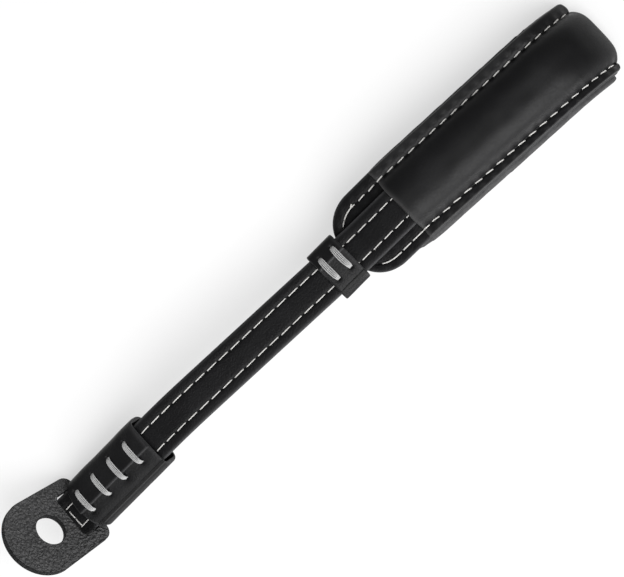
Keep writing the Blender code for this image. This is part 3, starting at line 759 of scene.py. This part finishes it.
def lacing(name, x, size, settle, body, node, seed):
    """One hand stitch: a flat bundle of waxed strands from one hole to the other."""
    half, height = size
    share = np.linspace(0, 1, 33)
    y = STITCH_HIGH + (STITCH_LOW - STITCH_HIGH) * share
    surface = height * (1 - np.abs(y / half) ** SECTION_POWER) ** (1 / SECTION_POWER)
    ends = np.abs(2 * share - 1)
    routes, ups = [], []
    for strand in range(CORD_STRANDS):
        across = (strand / (CORD_STRANDS - 1) - 0.5) * 2
        width = (CORD_WIDTH / 2 - STRAND_RADIUS) * (1 - 0.42 * ends**3)
        stray = 0.06 * MM * np.array([noise.noise(Vector((4 * t, strand * 2.3, seed))) for t in share])
        z = surface + 0.42 * MM - 0.1 * MM * across**2 + stray - 1.35 * MM * ends**9
        bow = 0.28 * MM * (1 - ends**2)
        routes.append(settle(x - bow + across * width + stray, y, z))
        ups.append(settle(x + 0 * y, y, z + MM) - settle(x + 0 * y, y, z))
    cord = tubes(name, np.array(routes), np.array(ups), STRAND_RADIUS, plies=2, twist=1.7 * MM, depth=0.1)
    return dress(cord, CORD, body, "waxed_cord", node)


def make_wrap(name, body, length, inner_half, inner_height, seam, first, pitch, count, settle, bow, seed):
    places = [-length / 2 + first + i * pitch for i in range(count)]
    holes = [(x, y) for x in places for y in (STITCH_HIGH, STITCH_LOW)]
    tube, size = wrap(name + "_skin", length, inner_half, inner_height, seam, holes, settle, bow, seed)
    dress(tube, WRAP_LEATHER, body, "wrap_leather", name)
    for i, x in enumerate(places):
        node = f"{name}_stitch_{i + 1}"
        lacing(node + "_strands", x, size, settle, body, node, seed + i)


def make_sleeve():
    def settle(x, y, z):
        return lay(SLEEVE_LENGTH / 2 + x, y, LOOP_HEIGHT + z)

    make_wrap(
        "sleeve", "strap", SLEEVE_LENGTH, BAND_HALF + 0.75 * MM, LOOP_OUTER + GAP, SLEEVE_SEAM,
        SLEEVE_FIRST, SLEEVE_PITCH, SLEEVE_STITCHES, settle, SLEEVE_BOW, 3,
    )


def make_keeper():
    high, low = BAND_TOP + GAP, BASE_BOTTOM - GAP
    middle = STEP_S - KEEPER_TO_STEP - KEEPER_LENGTH / 2
    c, s = math.cos(KEEPER_SKEW), math.sin(KEEPER_SKEW)

    def settle(x, y, z):
        return lay(middle + x * c - y * s, x * s + y * c, (high + low) / 2 + z)

    make_wrap(
        "keeper", "keeper", KEEPER_LENGTH, BAND_HALF + 0.5 * MM, (high - low) / 2, KEEPER_SEAM,
        (KEEPER_LENGTH - KEEPER_PITCH) / 2, KEEPER_PITCH, KEEPER_STITCHES, settle, 0, 11,
    )


# Tab


def arc(centre, radius, start, end, step=0.12 * MM):
    count = max(int(abs(end - start) * radius / step), 3)
    a = np.linspace(start, end, count)
    return np.stack([centre[0] + radius * np.cos(a), centre[1] + radius * np.sin(a)], 1)


def tab_loops():
    """The tab's outline, its slot and its hole, square on. X runs from the bar to the free end."""
    far = BAR_WIDTH / 2 + SLOT_WIDTH
    near, end = BAR_WIDTH / 2, far + SLOT_TO_HOLE + HOLE_TO_END
    right = 90 * DEG
    tip = arc((end - TAB_HALF, 0), TAB_HALF, -right, right)
    high = arc((TAB_CORNER - near, TAB_NECK - TAB_CORNER), TAB_CORNER, right, 2 * right)
    outline = np.vstack([tip, high, high[::-1] * (1, -1)])
    big, small = SLOT_CORNER, SLOT_BAR_CORNER
    corner = arc((far - big, SLOT_HALF - big), big, 0, right)
    bar = arc((near + small, SLOT_HALF - small), small, right, 2 * right)
    slot = np.vstack([corner, bar, bar[::-1] * (1, -1), corner[::-1] * (1, -1)])
    hole = arc((far + SLOT_TO_HOLE, 0), HOLE_RADIUS, 0, 4 * right)[:-1]
    return [even_loop(loop, 0.12 * MM) for loop in (outline, slot, hole)]


def inside_loops(points, loops):
    """Even-odd test of points against closed loops."""
    inside = np.zeros(len(points), bool)
    x, y = points[:, 0][:, None], points[:, 1][:, None]
    for loop in loops:
        a, b = loop, np.roll(loop, -1, 0)
        crosses = (a[:, 1] > y) != (b[:, 1] > y)
        rise = np.where(b[:, 1] == a[:, 1], 1e-12, b[:, 1] - a[:, 1])
        crosses &= x < (b[:, 0] - a[:, 0]) * (y - a[:, 1]) / rise + a[:, 0]
        inside ^= crosses.sum(1) % 2 == 1
    return inside


def loop_normals(loops):
    """Every loop point with its normal out of the material."""
    points, normals = [], []
    for number, loop in enumerate(loops):
        tangent = np.roll(loop, -1, 0) - np.roll(loop, 1, 0)
        normal = np.stack([tangent[:, 1], -tangent[:, 0]], 1)
        normal /= np.linalg.norm(normal, axis=1, keepdims=True)
        middle = loop.mean(0)
        outward = np.sign(((loop - middle) * normal).sum(1).mean()) * (1 if number == 0 else -1)
        points.append(loop)
        normals.append(normal * outward)
    return np.vstack(points), np.vstack(normals)


def shrunk(loops, by):
    """The loops, moved into the material."""
    moved = []
    for number, loop in enumerate(loops):
        points, normals = loop_normals([loop] if number == 0 else [loops[0], loop])
        moved.append((points - normals * by)[-len(loop) :])
    return moved


def plate(loops, thickness, rounding, cell, pebble):
    """A flat plate: a grid over each face, drawn out to the outline, and a rounded wall."""
    face_loops = shrunk(loops, rounding)
    edge_points, edge_normals = loop_normals(face_loops)
    low, high = edge_points.min(0) - cell, edge_points.max(0) + cell
    xs, ys = spread(low[0], high[0], cell), spread(low[1], high[1], cell)
    grid = np.stack(np.meshgrid(xs, ys, indexing="ij"), -1)
    index = np.arange(grid.shape[0] * grid.shape[1]).reshape(grid.shape[:2])
    quads = np.stack([index[:-1, :-1], index[1:, :-1], index[1:, 1:], index[:-1, 1:]], -1).reshape(-1, 4)
    flat = grid.reshape(-1, 2)
    quads = quads[inside_loops(flat[quads].mean(1), face_loops)]
    edges = np.sort(np.concatenate([quads[:, [i, (i + 1) % 4]] for i in range(4)]), axis=1)
    edges, counts = np.unique(edges, axis=0, return_counts=True)
    rim_edges = edges[counts == 1]
    used = np.unique(quads)
    number = np.full(len(flat), -1)
    number[used] = np.arange(len(used))
    quads, rim_edges, flat = number[quads], number[rim_edges], flat[used]
    rim = np.unique(rim_edges)
    nearest = np.array([np.argmin(((edge_points - flat[i]) ** 2).sum(1)) for i in rim])
    flat[rim] = edge_points[nearest]
    links = number[edges]
    for _ in range(6):
        total, count = np.zeros_like(flat), np.zeros(len(flat))
        for a, b in ((0, 1), (1, 0)):
            np.add.at(total, links[:, a], flat[links[:, b]])
            np.add.at(count, links[:, a], 1)
        relaxed = total / count[:, None]
        relaxed[rim] = flat[rim]
        flat = relaxed
    distance = np.sqrt(((flat[:, None, :] - edge_points[None, ::3, :]) ** 2).sum(-1)).min(1)
    relief = np.array([pebble(x, y) for x, y in flat]) * np.clip(distance / (0.6 * MM), 0, 1)
    top = np.column_stack([flat, thickness / 2 + relief])
    bottom = np.column_stack([flat, -thickness / 2 - relief])
    turn = np.linspace(0, 90, 6)[1:] * DEG
    wall = [(rounding * math.sin(t), thickness / 2 - rounding * (1 - math.cos(t))) for t in turn]
    wall += [(rounding - 0.03 * MM, 0.3 * MM), (rounding - 0.05 * MM, 0.0), (rounding - 0.03 * MM, -0.3 * MM)]
    wall += [(out, -z) for out, z in wall[:5][::-1]]
    count = len(flat)
    rings = [rim]
    levels = [top, bottom]
    for step, (out, z) in enumerate(wall):
        at = flat[rim] + edge_normals[nearest] * out
        levels.append(np.column_stack([at, np.full(len(rim), z)]))
        rings.append(2 * count + step * len(rim) + np.arange(len(rim)))
    rings.append(rim + count)
    where = np.full(count, -1)
    where[rim] = np.arange(len(rim))
    faces = quads.tolist() + (quads[:, ::-1] + count).tolist()
    for a, b in where[rim_edges]:
        for upper, lower in zip(rings, rings[1:]):
            faces.append([int(upper[a]), int(upper[b]), int(lower[b]), int(lower[a])])
    edge = np.concatenate([0 * flat[:, 0], 0 * flat[:, 0], np.ones(len(rim) * len(wall))])
    return np.vstack(levels), faces, edge


def pebble_height(x, y):
    """Leather pebbles on the tab's faces."""
    cell = noise.voronoi(Vector((x, y, 0)) / (1.3 * MM))[0][0]
    broad = noise.noise(Vector((x, y, 3)) / (5 * MM))
    return 0.16 * MM * (0.5 - cell) + 0.06 * MM * broad


def make_tab():
    points, faces, edge = plate(tab_loops(), TAB_THICKNESS + TAB_SWELL, 0.2 * MM, 0.32 * MM, pebble_height)
    c, s = math.cos(TAB_SKEW), math.sin(TAB_SKEW)
    x, y, z = points.T
    x, y = x * c - y * s, x * s + y * c
    along, up = math.cos(TAB_ANGLE), math.sin(TAB_ANGLE)
    side = np.stack([x * along - z * up, y, x * up + z * along], 1)
    placed = side @ TURN.T + np.array(joint("tab_swing")["pos_m"])
    tab = object_from("tab_skin", placed, faces, {"edge": edge, "painted_shade": 0 * edge})
    dress(tab, TAB_LEATHER, "tab", "tab_leather", "tab")


# Pad


def pad_half(s):
    share = (s - PAD_TIP_S) / (END_S - PAD_TIP_S)
    half = PAD_HALF_START + (PAD_HALF_END - PAD_HALF_START) * share
    to_full = np.clip(1 - (s - PAD_TIP_S) / PAD_NOSE_LENGTH, 0, 1)
    half = half * (1 - to_full**PAD_NOSE_POWER) ** (1 / PAD_NOSE_POWER)
    into = np.clip(s - (END_S - PAD_END_CORNER), 0, PAD_END_CORNER)
    return half + np.sqrt(PAD_END_CORNER**2 - into**2) - PAD_END_CORNER


def skew(s):
    """The pad's small sideways run toward the far end."""
    return PAD_SKEW * np.clip((s - COVER_S) / (END_S - COVER_S), 0, 1)


def low_inset(s, y):
    """How much further in the lower stitch row and the cover's lower foot run."""
    return np.where(y < 0, LOW_ROW_INSET * np.clip((END_S - s) / (END_S - COVER_S), 0, 1), 0)


def row_at(s, y):
    """How far from the middle the pad's stitch row on the side of y runs."""
    share = np.clip((s - PAD_TIP_S - PAD_ROW_NOSE) / PAD_ROW_NOSE_LENGTH, 0, 1)
    return (ROW_HALF - low_inset(s, y)) * (1 - (1 - share) ** PAD_NOSE_POWER) ** (1 / PAD_NOSE_POWER)


def pad_stations(start, step=STATION):
    """Distances from start to the far end, closer together in the round end corners."""
    corner = END_S - PAD_END_CORNER * (1 - np.sin(np.linspace(0, 88, 12) * DEG))
    return np.unique(np.concatenate([spread(start, END_S - PAD_END_CORNER, step), corner, [END_S]]))


def pad_rows(across, s):
    """Relief and holes of the pad's stitch rows, and the painted shade in the holes."""
    off = np.abs(np.abs(across) - row_at(s, across))
    phase = np.abs(((s - PAD_PHASE) / PAD_PITCH + 0.5) % 1 - 0.5) * PAD_PITCH
    hole = np.abs(phase - PAD_DASH / 2)
    painted_shade = bump_at(np.hypot(off, hole), 0.3 * MM)
    relief = -0.2 * MM * bump_at(off, 0.5 * MM) - 0.14 * MM * bump_at(off, 1.5 * MM) - 0.4 * MM * painted_shade
    tug = 0.1 * MM * np.cos(2 * math.pi * (s - PAD_PHASE) / PAD_PITCH) * bump_at(off - 1.1 * MM, 0.9 * MM)
    return relief + tug, painted_shade


def make_base():
    nose = PAD_TIP_S + PAD_NOSE_LENGTH * np.linspace(0.03, 1, 45) ** 1.6
    s = np.concatenate([nose, pad_stations(PAD_TIP_S + PAD_NOSE_LENGTH)[1:]])
    corner = 0.45 * MM
    section = strip_section(20 * MM, BASE_THICKNESS, corner, 0.32 * MM)
    across, height = section.T
    inner = np.clip(np.abs(across) - (20 * MM - corner), 0, None)
    share = np.clip(across / (20 * MM - corner), -1, 1)
    half = pad_half(s)
    y = share[None, :] * (half - corner)[:, None] + np.sign(across) * inner
    y_world = y + PAD_SHIFT
    relief, painted_shade = pad_rows(y_world, s[:, None])
    on_top = (height > BASE_THICKNESS / 2 * 0.98).astype(float)[None, :]
    middle = (BASE_TOP + BASE_BOTTOM) / 2
    near_edge = bump_at(half[:, None] - np.abs(y), 1.2 * MM)
    drop = -0.15 * MM * near_edge * np.clip(height / (BASE_THICKNESS / 2), 0, 1)
    points = lay(s[:, None], y_world + skew(s)[:, None], middle + height + (relief * on_top) + drop)
    # Painted highlight: lighter edge colour along the base's outer edge.
    edge = bump_at(half[:, None] - np.abs(y), 0.5 * MM)
    base = grid_object("pad_base_skin", points, {"edge": edge, "painted_shade": painted_shade * on_top}, wrap_columns=True, caps=True)
    dress(base, BAND_LEATHER, "strap", "band_leather", "pad_base")


def cover_height(s, y):
    """The height of the cover's inside."""
    fade = np.clip((END_S - s) / COVER_CROWN_FADE, 0, 1)
    eased = fade * (2 - fade)
    crown = COVER_END_CROWN + (COVER_CROWN - COVER_END_CROWN) * eased
    power = 5.2 - 1.9 * eased
    rise = COVER_INSIDE + crown - COVER_FLANGE
    share = np.clip(np.abs(y) / (COVER_FOOT - low_inset(s, y)), 0, 1)
    return COVER_FLANGE + rise * (1 - share**power)


def cover_lag(s, y):
    """How far the cover's slanting front edge runs ahead at y."""
    reach = np.where(y > 0, y, -0.5 * y)
    return math.tan(COVER_SLANT) * reach * np.clip(1 - (s - COVER_S) / COVER_SLANT_RUN, 0, 1)


def make_cover():
    s = pad_stations(COVER_S)
    lead = COVER_S + COVER_THICKNESS / 2 * (1 - np.cos(np.linspace(0, 90, 5) * DEG))
    s = np.unique(np.concatenate([lead, s[s > lead[-1]]]))
    share = spread(-1, 1, 0.018)
    out_low = (pad_half(s) - COVER_INSET)[:, None]
    y = share[None, :] * out_low
    y = y + PAD_SHIFT * np.abs(share) ** 6
    inside = cover_height(s[:, None], y)
    slope = np.gradient(inside, axis=1) / np.gradient(y, axis=1)
    tilt = np.arctan(slope)
    relief, painted_shade = pad_rows(y, s[:, None])
    grid = np.stack([s[:, None] + 0 * y, y, inside], -1)
    soft = 0.16 * MM * unevenness(grid, 11 * MM, 5) + 0.06 * MM * unevenness(grid, 4 * MM, 6)
    row = row_at(s[:, None], y)
    soft = soft * np.clip((row - np.abs(y)) / (2 * MM), 0.15, 1)
    into_end = ((COVER_THICKNESS / 2 - (s - COVER_S)) / (COVER_THICKNESS / 2)).clip(0, 1)
    at_end = np.sqrt(np.clip(1 - into_end ** 2, 0, 1))
    thick = COVER_THICKNESS * (0.5 + 0.5 * at_end)[:, None]
    rim = np.clip((out_low - np.abs(share) * out_low) / (0.45 * MM), 0, 1)
    thick = thick * (0.45 + 0.55 * np.sqrt(1 - (1 - rim) ** 2))
    lift = thick + relief + soft
    at = s[:, None] - cover_lag(s[:, None], y)
    side = y + skew(s)[:, None]
    outer = lay(at, side - lift * np.sin(tilt), inside + lift * np.cos(tilt))
    inner = lay(at, side, inside)
    points = np.concatenate([outer, inner[:, ::-1]], axis=1)
    margin = np.clip((np.abs(y) - row) / (0.8 * MM) + 0.5, 0, 1)
    # Painted highlight: lighter edge colour along the cover's front lip, sides and far end.
    edge = np.maximum(bump_at(s - COVER_S, 0.8 * MM)[:, None], bump_at(out_low * (1 - np.abs(share)), 0.4 * MM))
    edge = np.maximum(edge, bump_at(END_S - s, 0.6 * MM)[:, None])
    attributes = {
        "edge": np.concatenate([edge, 0 * edge], axis=1),
        "painted_shade": np.concatenate([painted_shade, 0 * painted_shade], axis=1),
        "margin": np.concatenate([margin, 0 * margin], axis=1),
    }
    cover = grid_object("pad_cover_skin", points, attributes, wrap_columns=True, caps=True)
    dress(cover, COVER_LEATHER, "strap", "pad_leather", "pad_cover")


def pad_thread():
    """The stitch rows along both sides of the pad, over the base's nose and then over the cover."""
    routes, ups = [], []
    for side, nose in ((1, HIGH_NOSE_STITCHES), (-1, LOW_NOSE_STITCHES)):
        count = math.floor((END_S - PAD_PHASE) / PAD_PITCH)
        regular = [(PAD_PHASE + n * PAD_PITCH - PAD_DASH / 2, PAD_DASH) for n in range(nose[0], count + 1)]
        early = [(COVER_S + start * MM, length * MM) for start, length in nose[1]]
        for number, (start, length) in enumerate(early + regular):
            run, rise = stitch_shape(length, THREAD_RADIUS * 1.15, 0.35 * MM)
            s = start + length / 2 + run
            y = side * row_at(s, side)
            wander = 0.12 * MM * noise.noise(Vector((number * 1.3, side * 2.2, 7.7)))
            slant = side * run * math.tan(STITCH_SLANT) if number >= len(early) else 0
            middle = start + length / 2
            on_cover = middle - cover_lag(middle, y[7]) > COVER_S - 0.8 * MM
            ground = COVER_FLANGE + COVER_THICKNESS if on_cover else BASE_TOP
            routes.append(lay(s, y + slant + wander + skew(s), ground - 0.22 * MM + rise))
            ups.append(up_at(s))
    knot = np.linspace(-0.5, 0.5, 15) * MM
    s = COVER_S + KNOT_S + knot
    routes.append(lay(s, row_at(s, 1) + 0.6 * knot + 0.3 * MM, BASE_TOP + 0.25 * MM + 0 * s))
    ups.append(up_at(s))
    thread = tubes("pad_thread", np.array(routes), np.array(ups), THREAD_RADIUS * 1.15)
    dress(thread, THREAD, "strap", "waxed_cord")


def lining_size(s):
    share = np.clip((s - LINING_S) / LINING_NOSE_LENGTH, 0, 1)
    eased = share * (2 - share)
    half = pad_half(s) + LINING_BULGE * eased - LINING_NOSE_INSET * (1 - eased)
    return half, LINING_NOSE_DEPTH + (LINING_DEPTH - LINING_NOSE_DEPTH) * eased


def make_cushion():
    """The lining filled with foam, swollen by a cloth simulation at a larger scale."""
    s = pad_stations(LINING_S, 1.0 * MM)
    half, depth = lining_size(s)
    turn = np.linspace(0, math.pi, 25)
    c, k = np.cos(turn), np.sin(turn)
    side = np.sign(c) * np.abs(c) ** 0.35
    down = np.abs(k) ** 0.6
    y = side[None, :] * (half + CUSHION_SPREAD)[:, None] + LINING_SHIFT + skew(s)[:, None]
    h = LINING_TOP - down[None, :] * (depth - CUSHION_ROOM)[:, None]
    top = y[:, 1:-1][:, ::-1]
    y = np.concatenate([y, top], axis=1)
    h = np.concatenate([h, np.full_like(top, LINING_TOP)], axis=1)
    points = lay(s[:, None], y, h)
    points[..., 0] += 0.4 * (LINING_TOP - h) * np.clip((s - END_S) / (8 * MM) + 1, 0, 1)[:, None]
    raw = grid_object("pad_cushion", points, None, wrap_columns=True, caps=True)
    swell(raw)
    dress(raw, LINING_LEATHER, "strap", "lining_leather", "pad_lining", "pad_foam")


def flat_attributes(mesh):
    for key in ("edge", "painted_shade"):
        if key not in mesh.attributes:
            mesh.attributes.new(key, "FLOAT", "POINT")


def swell(obj):
    """Remeshes a closed soft form, lets cloth pressure fill it out, and keeps its sewn top still."""
    scene = bpy.context.scene
    bpy.context.view_layer.objects.active = obj
    obj.select_set(True)
    obj.data.transform(Matrix.Scale(CUSHION_SCALE, 4))
    remesh = obj.modifiers.new("remesh", "REMESH")
    remesh.mode = "VOXEL"
    remesh.voxel_size = CUSHION_VOXEL * CUSHION_SCALE
    smooth = obj.modifiers.new("smooth", "SMOOTH")
    smooth.iterations = CUSHION_SMOOTHING
    apply_all(obj)
    before = mesh_points(obj) / CUSHION_SCALE
    s, y, h = unlay(before)
    group = obj.vertex_groups.new(name="sewn")
    sewn = np.clip((h - (LINING_TOP - 0.9 * MM)) / (0.6 * MM), 0, 1)
    channel = bump_at(np.abs(y) - ROW_HALF, 0.7 * MM)
    for number, weight in enumerate(np.maximum(sewn, channel)):
        group.add([number], float(weight), "REPLACE")
    cloth = obj.modifiers.new("cloth", "CLOTH")
    settings = cloth.settings
    settings.quality = 6
    settings.mass = 0.3
    settings.tension_stiffness = 12
    settings.compression_stiffness = 12
    settings.bending_stiffness = 2
    settings.use_pressure = True
    settings.uniform_pressure_force = 5
    settings.vertex_group_mass = "sewn"
    settings.effector_weights.gravity = 0
    cloth.point_cache.frame_end = CUSHION_FRAMES
    for number in range(1, CUSHION_FRAMES + 1):
        scene.frame_set(number)
    apply_all(obj)
    scene.frame_set(1)
    after = mesh_points(obj) / CUSHION_SCALE
    move = after - before
    size = np.linalg.norm(move, axis=1, keepdims=True)
    move *= np.minimum(1, CUSHION_CAP / np.maximum(size, 1e-9))
    after = before + move
    sunk = -CHANNEL_DEPTH * bump_at(np.abs(y) - ROW_HALF, 0.8 * MM) * (h < LINING_TOP - 2 * MM)
    after = after - up_at(s) * sunk[:, None]
    obj.data.vertices.foreach_set("co", after.astype(np.float32).ravel())
    obj.data.update()
    smooth_and_divide = obj.modifiers.new("finish", "SUBSURF")
    smooth_and_divide.levels = smooth_and_divide.render_levels = 1
    apply_all(obj)
    flat_attributes(obj.data)
    obj.data.shade_smooth()
    obj.select_set(False)


def mesh_points(obj):
    flat = np.empty(len(obj.data.vertices) * 3, np.float32)
    obj.data.vertices.foreach_get("co", flat)
    return flat.reshape(-1, 3).astype(float)


def apply_all(obj):
    """Puts what the modifiers make into the mesh itself."""
    graph = bpy.context.evaluated_depsgraph_get()
    made = bpy.data.meshes.new_from_object(
        obj.evaluated_get(graph), preserve_all_data_layers=True, depsgraph=graph)
    obj.modifiers.clear()
    obj.data = made


def unlay(points):
    """Roughly the s, y and h of points beside the pad."""
    s = np.arange(LINING_S - 2 * MM, END_S + 2 * MM, 0.25 * MM)
    middles, ups = lay(s, 0, LINING_TOP), up_at(s)
    flat = points[:, [0, 2]]
    nearest = np.array([np.argmin(((middles[:, [0, 2]] - p) ** 2).sum(1)) for p in flat])
    h = LINING_TOP + ((points - middles[nearest]) * ups[nearest]).sum(1)
    return s[nearest], points[:, 1] - LINING_SHIFT, h


# Floor, light and camera


def make_floor():
    bpy.ops.mesh.primitive_plane_add(size=6)
    floor = bpy.context.object
    floor.name = "floor"
    material, tree, shader = new_material("floor", (0.86, 0.86, 0.86), 0.9)
    shader.inputs["Specular IOR Level"].default_value = 0.1
    out = tree.nodes["Material Output"]
    glow = tree.nodes.new("ShaderNodeEmission")
    glow.inputs["Color"].default_value = (1, 1, 1, 1)
    mix = tree.nodes.new("ShaderNodeMixShader")
    path = tree.nodes.new("ShaderNodeLightPath")
    seen = math_node(tree, "ADD", path.outputs["Is Camera Ray"], path.outputs["Is Glossy Ray"])
    seen = math_node(tree, "ADD", seen, path.outputs["Is Transmission Ray"])
    tree.links.new(math_node(tree, "MULTIPLY", seen, FLOOR_GLOW), mix.inputs[0])
    tree.links.new(shader.outputs[0], mix.inputs[1])
    tree.links.new(glow.outputs[0], mix.inputs[2])
    tree.links.new(mix.outputs[0], out.inputs["Surface"])
    floor.data.materials.append(material)


def area_light(name, place, target, size, watts, size_y=None):
    data = bpy.data.lights.new(name, "AREA")
    data.shape = "RECTANGLE"
    data.size = size
    data.size_y = size_y or size
    data.energy = watts
    light = bpy.data.objects.new(name, data)
    light.location = place
    light.rotation_euler = (Vector(target) - Vector(place)).to_track_quat("-Z", "Y").to_euler()
    bpy.context.scene.collection.objects.link(light)


def make_light():
    world = bpy.data.worlds.new("studio")
    bpy.context.scene.world = world
    world.use_nodes = True
    world.node_tree.nodes["Background"].inputs["Color"].default_value = (1, 1, 1, 1)
    world.node_tree.nodes["Background"].inputs["Strength"].default_value = 0.28
    area_light("key", (0.15, -0.6, 0.95), (0, 0, 0), 1.0, 15)
    area_light("side", (0.1, -0.9, 0.16), (0, 0, 0.01), 0.9, 5, 0.2)
    area_light("fill", (-0.75, -0.5, 0.7), (-0.07, 0, 0.01), 0.6, 4.5)


def make_camera():
    """The photograph's view, nearly straight down, with the strap from lower left to upper right."""
    back = Vector((math.sin(CAMERA_LEAN_X), -math.sin(CAMERA_LEAN_Y), 0))
    back.z = math.sqrt(1 - back.length_squared)
    right = Vector((0, 1, 0)).cross(back).normalized()
    up = back.cross(right)
    c, s = math.cos(CAMERA_ROLL), math.sin(CAMERA_ROLL)
    right, up = right * c + up * s, up * c - right * s
    data = bpy.data.cameras.new("camera")
    data.sensor_width = 36
    data.lens = 36 * CAMERA_FOCAL_PIXELS / IMAGE_WIDTH
    camera = bpy.data.objects.new("camera", data)
    axes = Matrix((right, up, back)).transposed()
    place = Vector(CAMERA_TARGET) + axes @ Vector((-CAMERA_OFFSET[0], -CAMERA_OFFSET[1], CAMERA_DISTANCE))
    camera.matrix_world = Matrix.Translation(place) @ axes.to_4x4()
    bpy.context.scene.collection.objects.link(camera)
    bpy.context.scene.camera = camera


def main():
    make_bands()
    make_sleeve()
    make_keeper()
    make_tab()
    make_base()
    make_cover()
    pad_thread()
    make_cushion()
    make_floor()
    make_light()
    make_camera()
    bpy.context.scene.view_settings.view_transform = "Standard"


main()
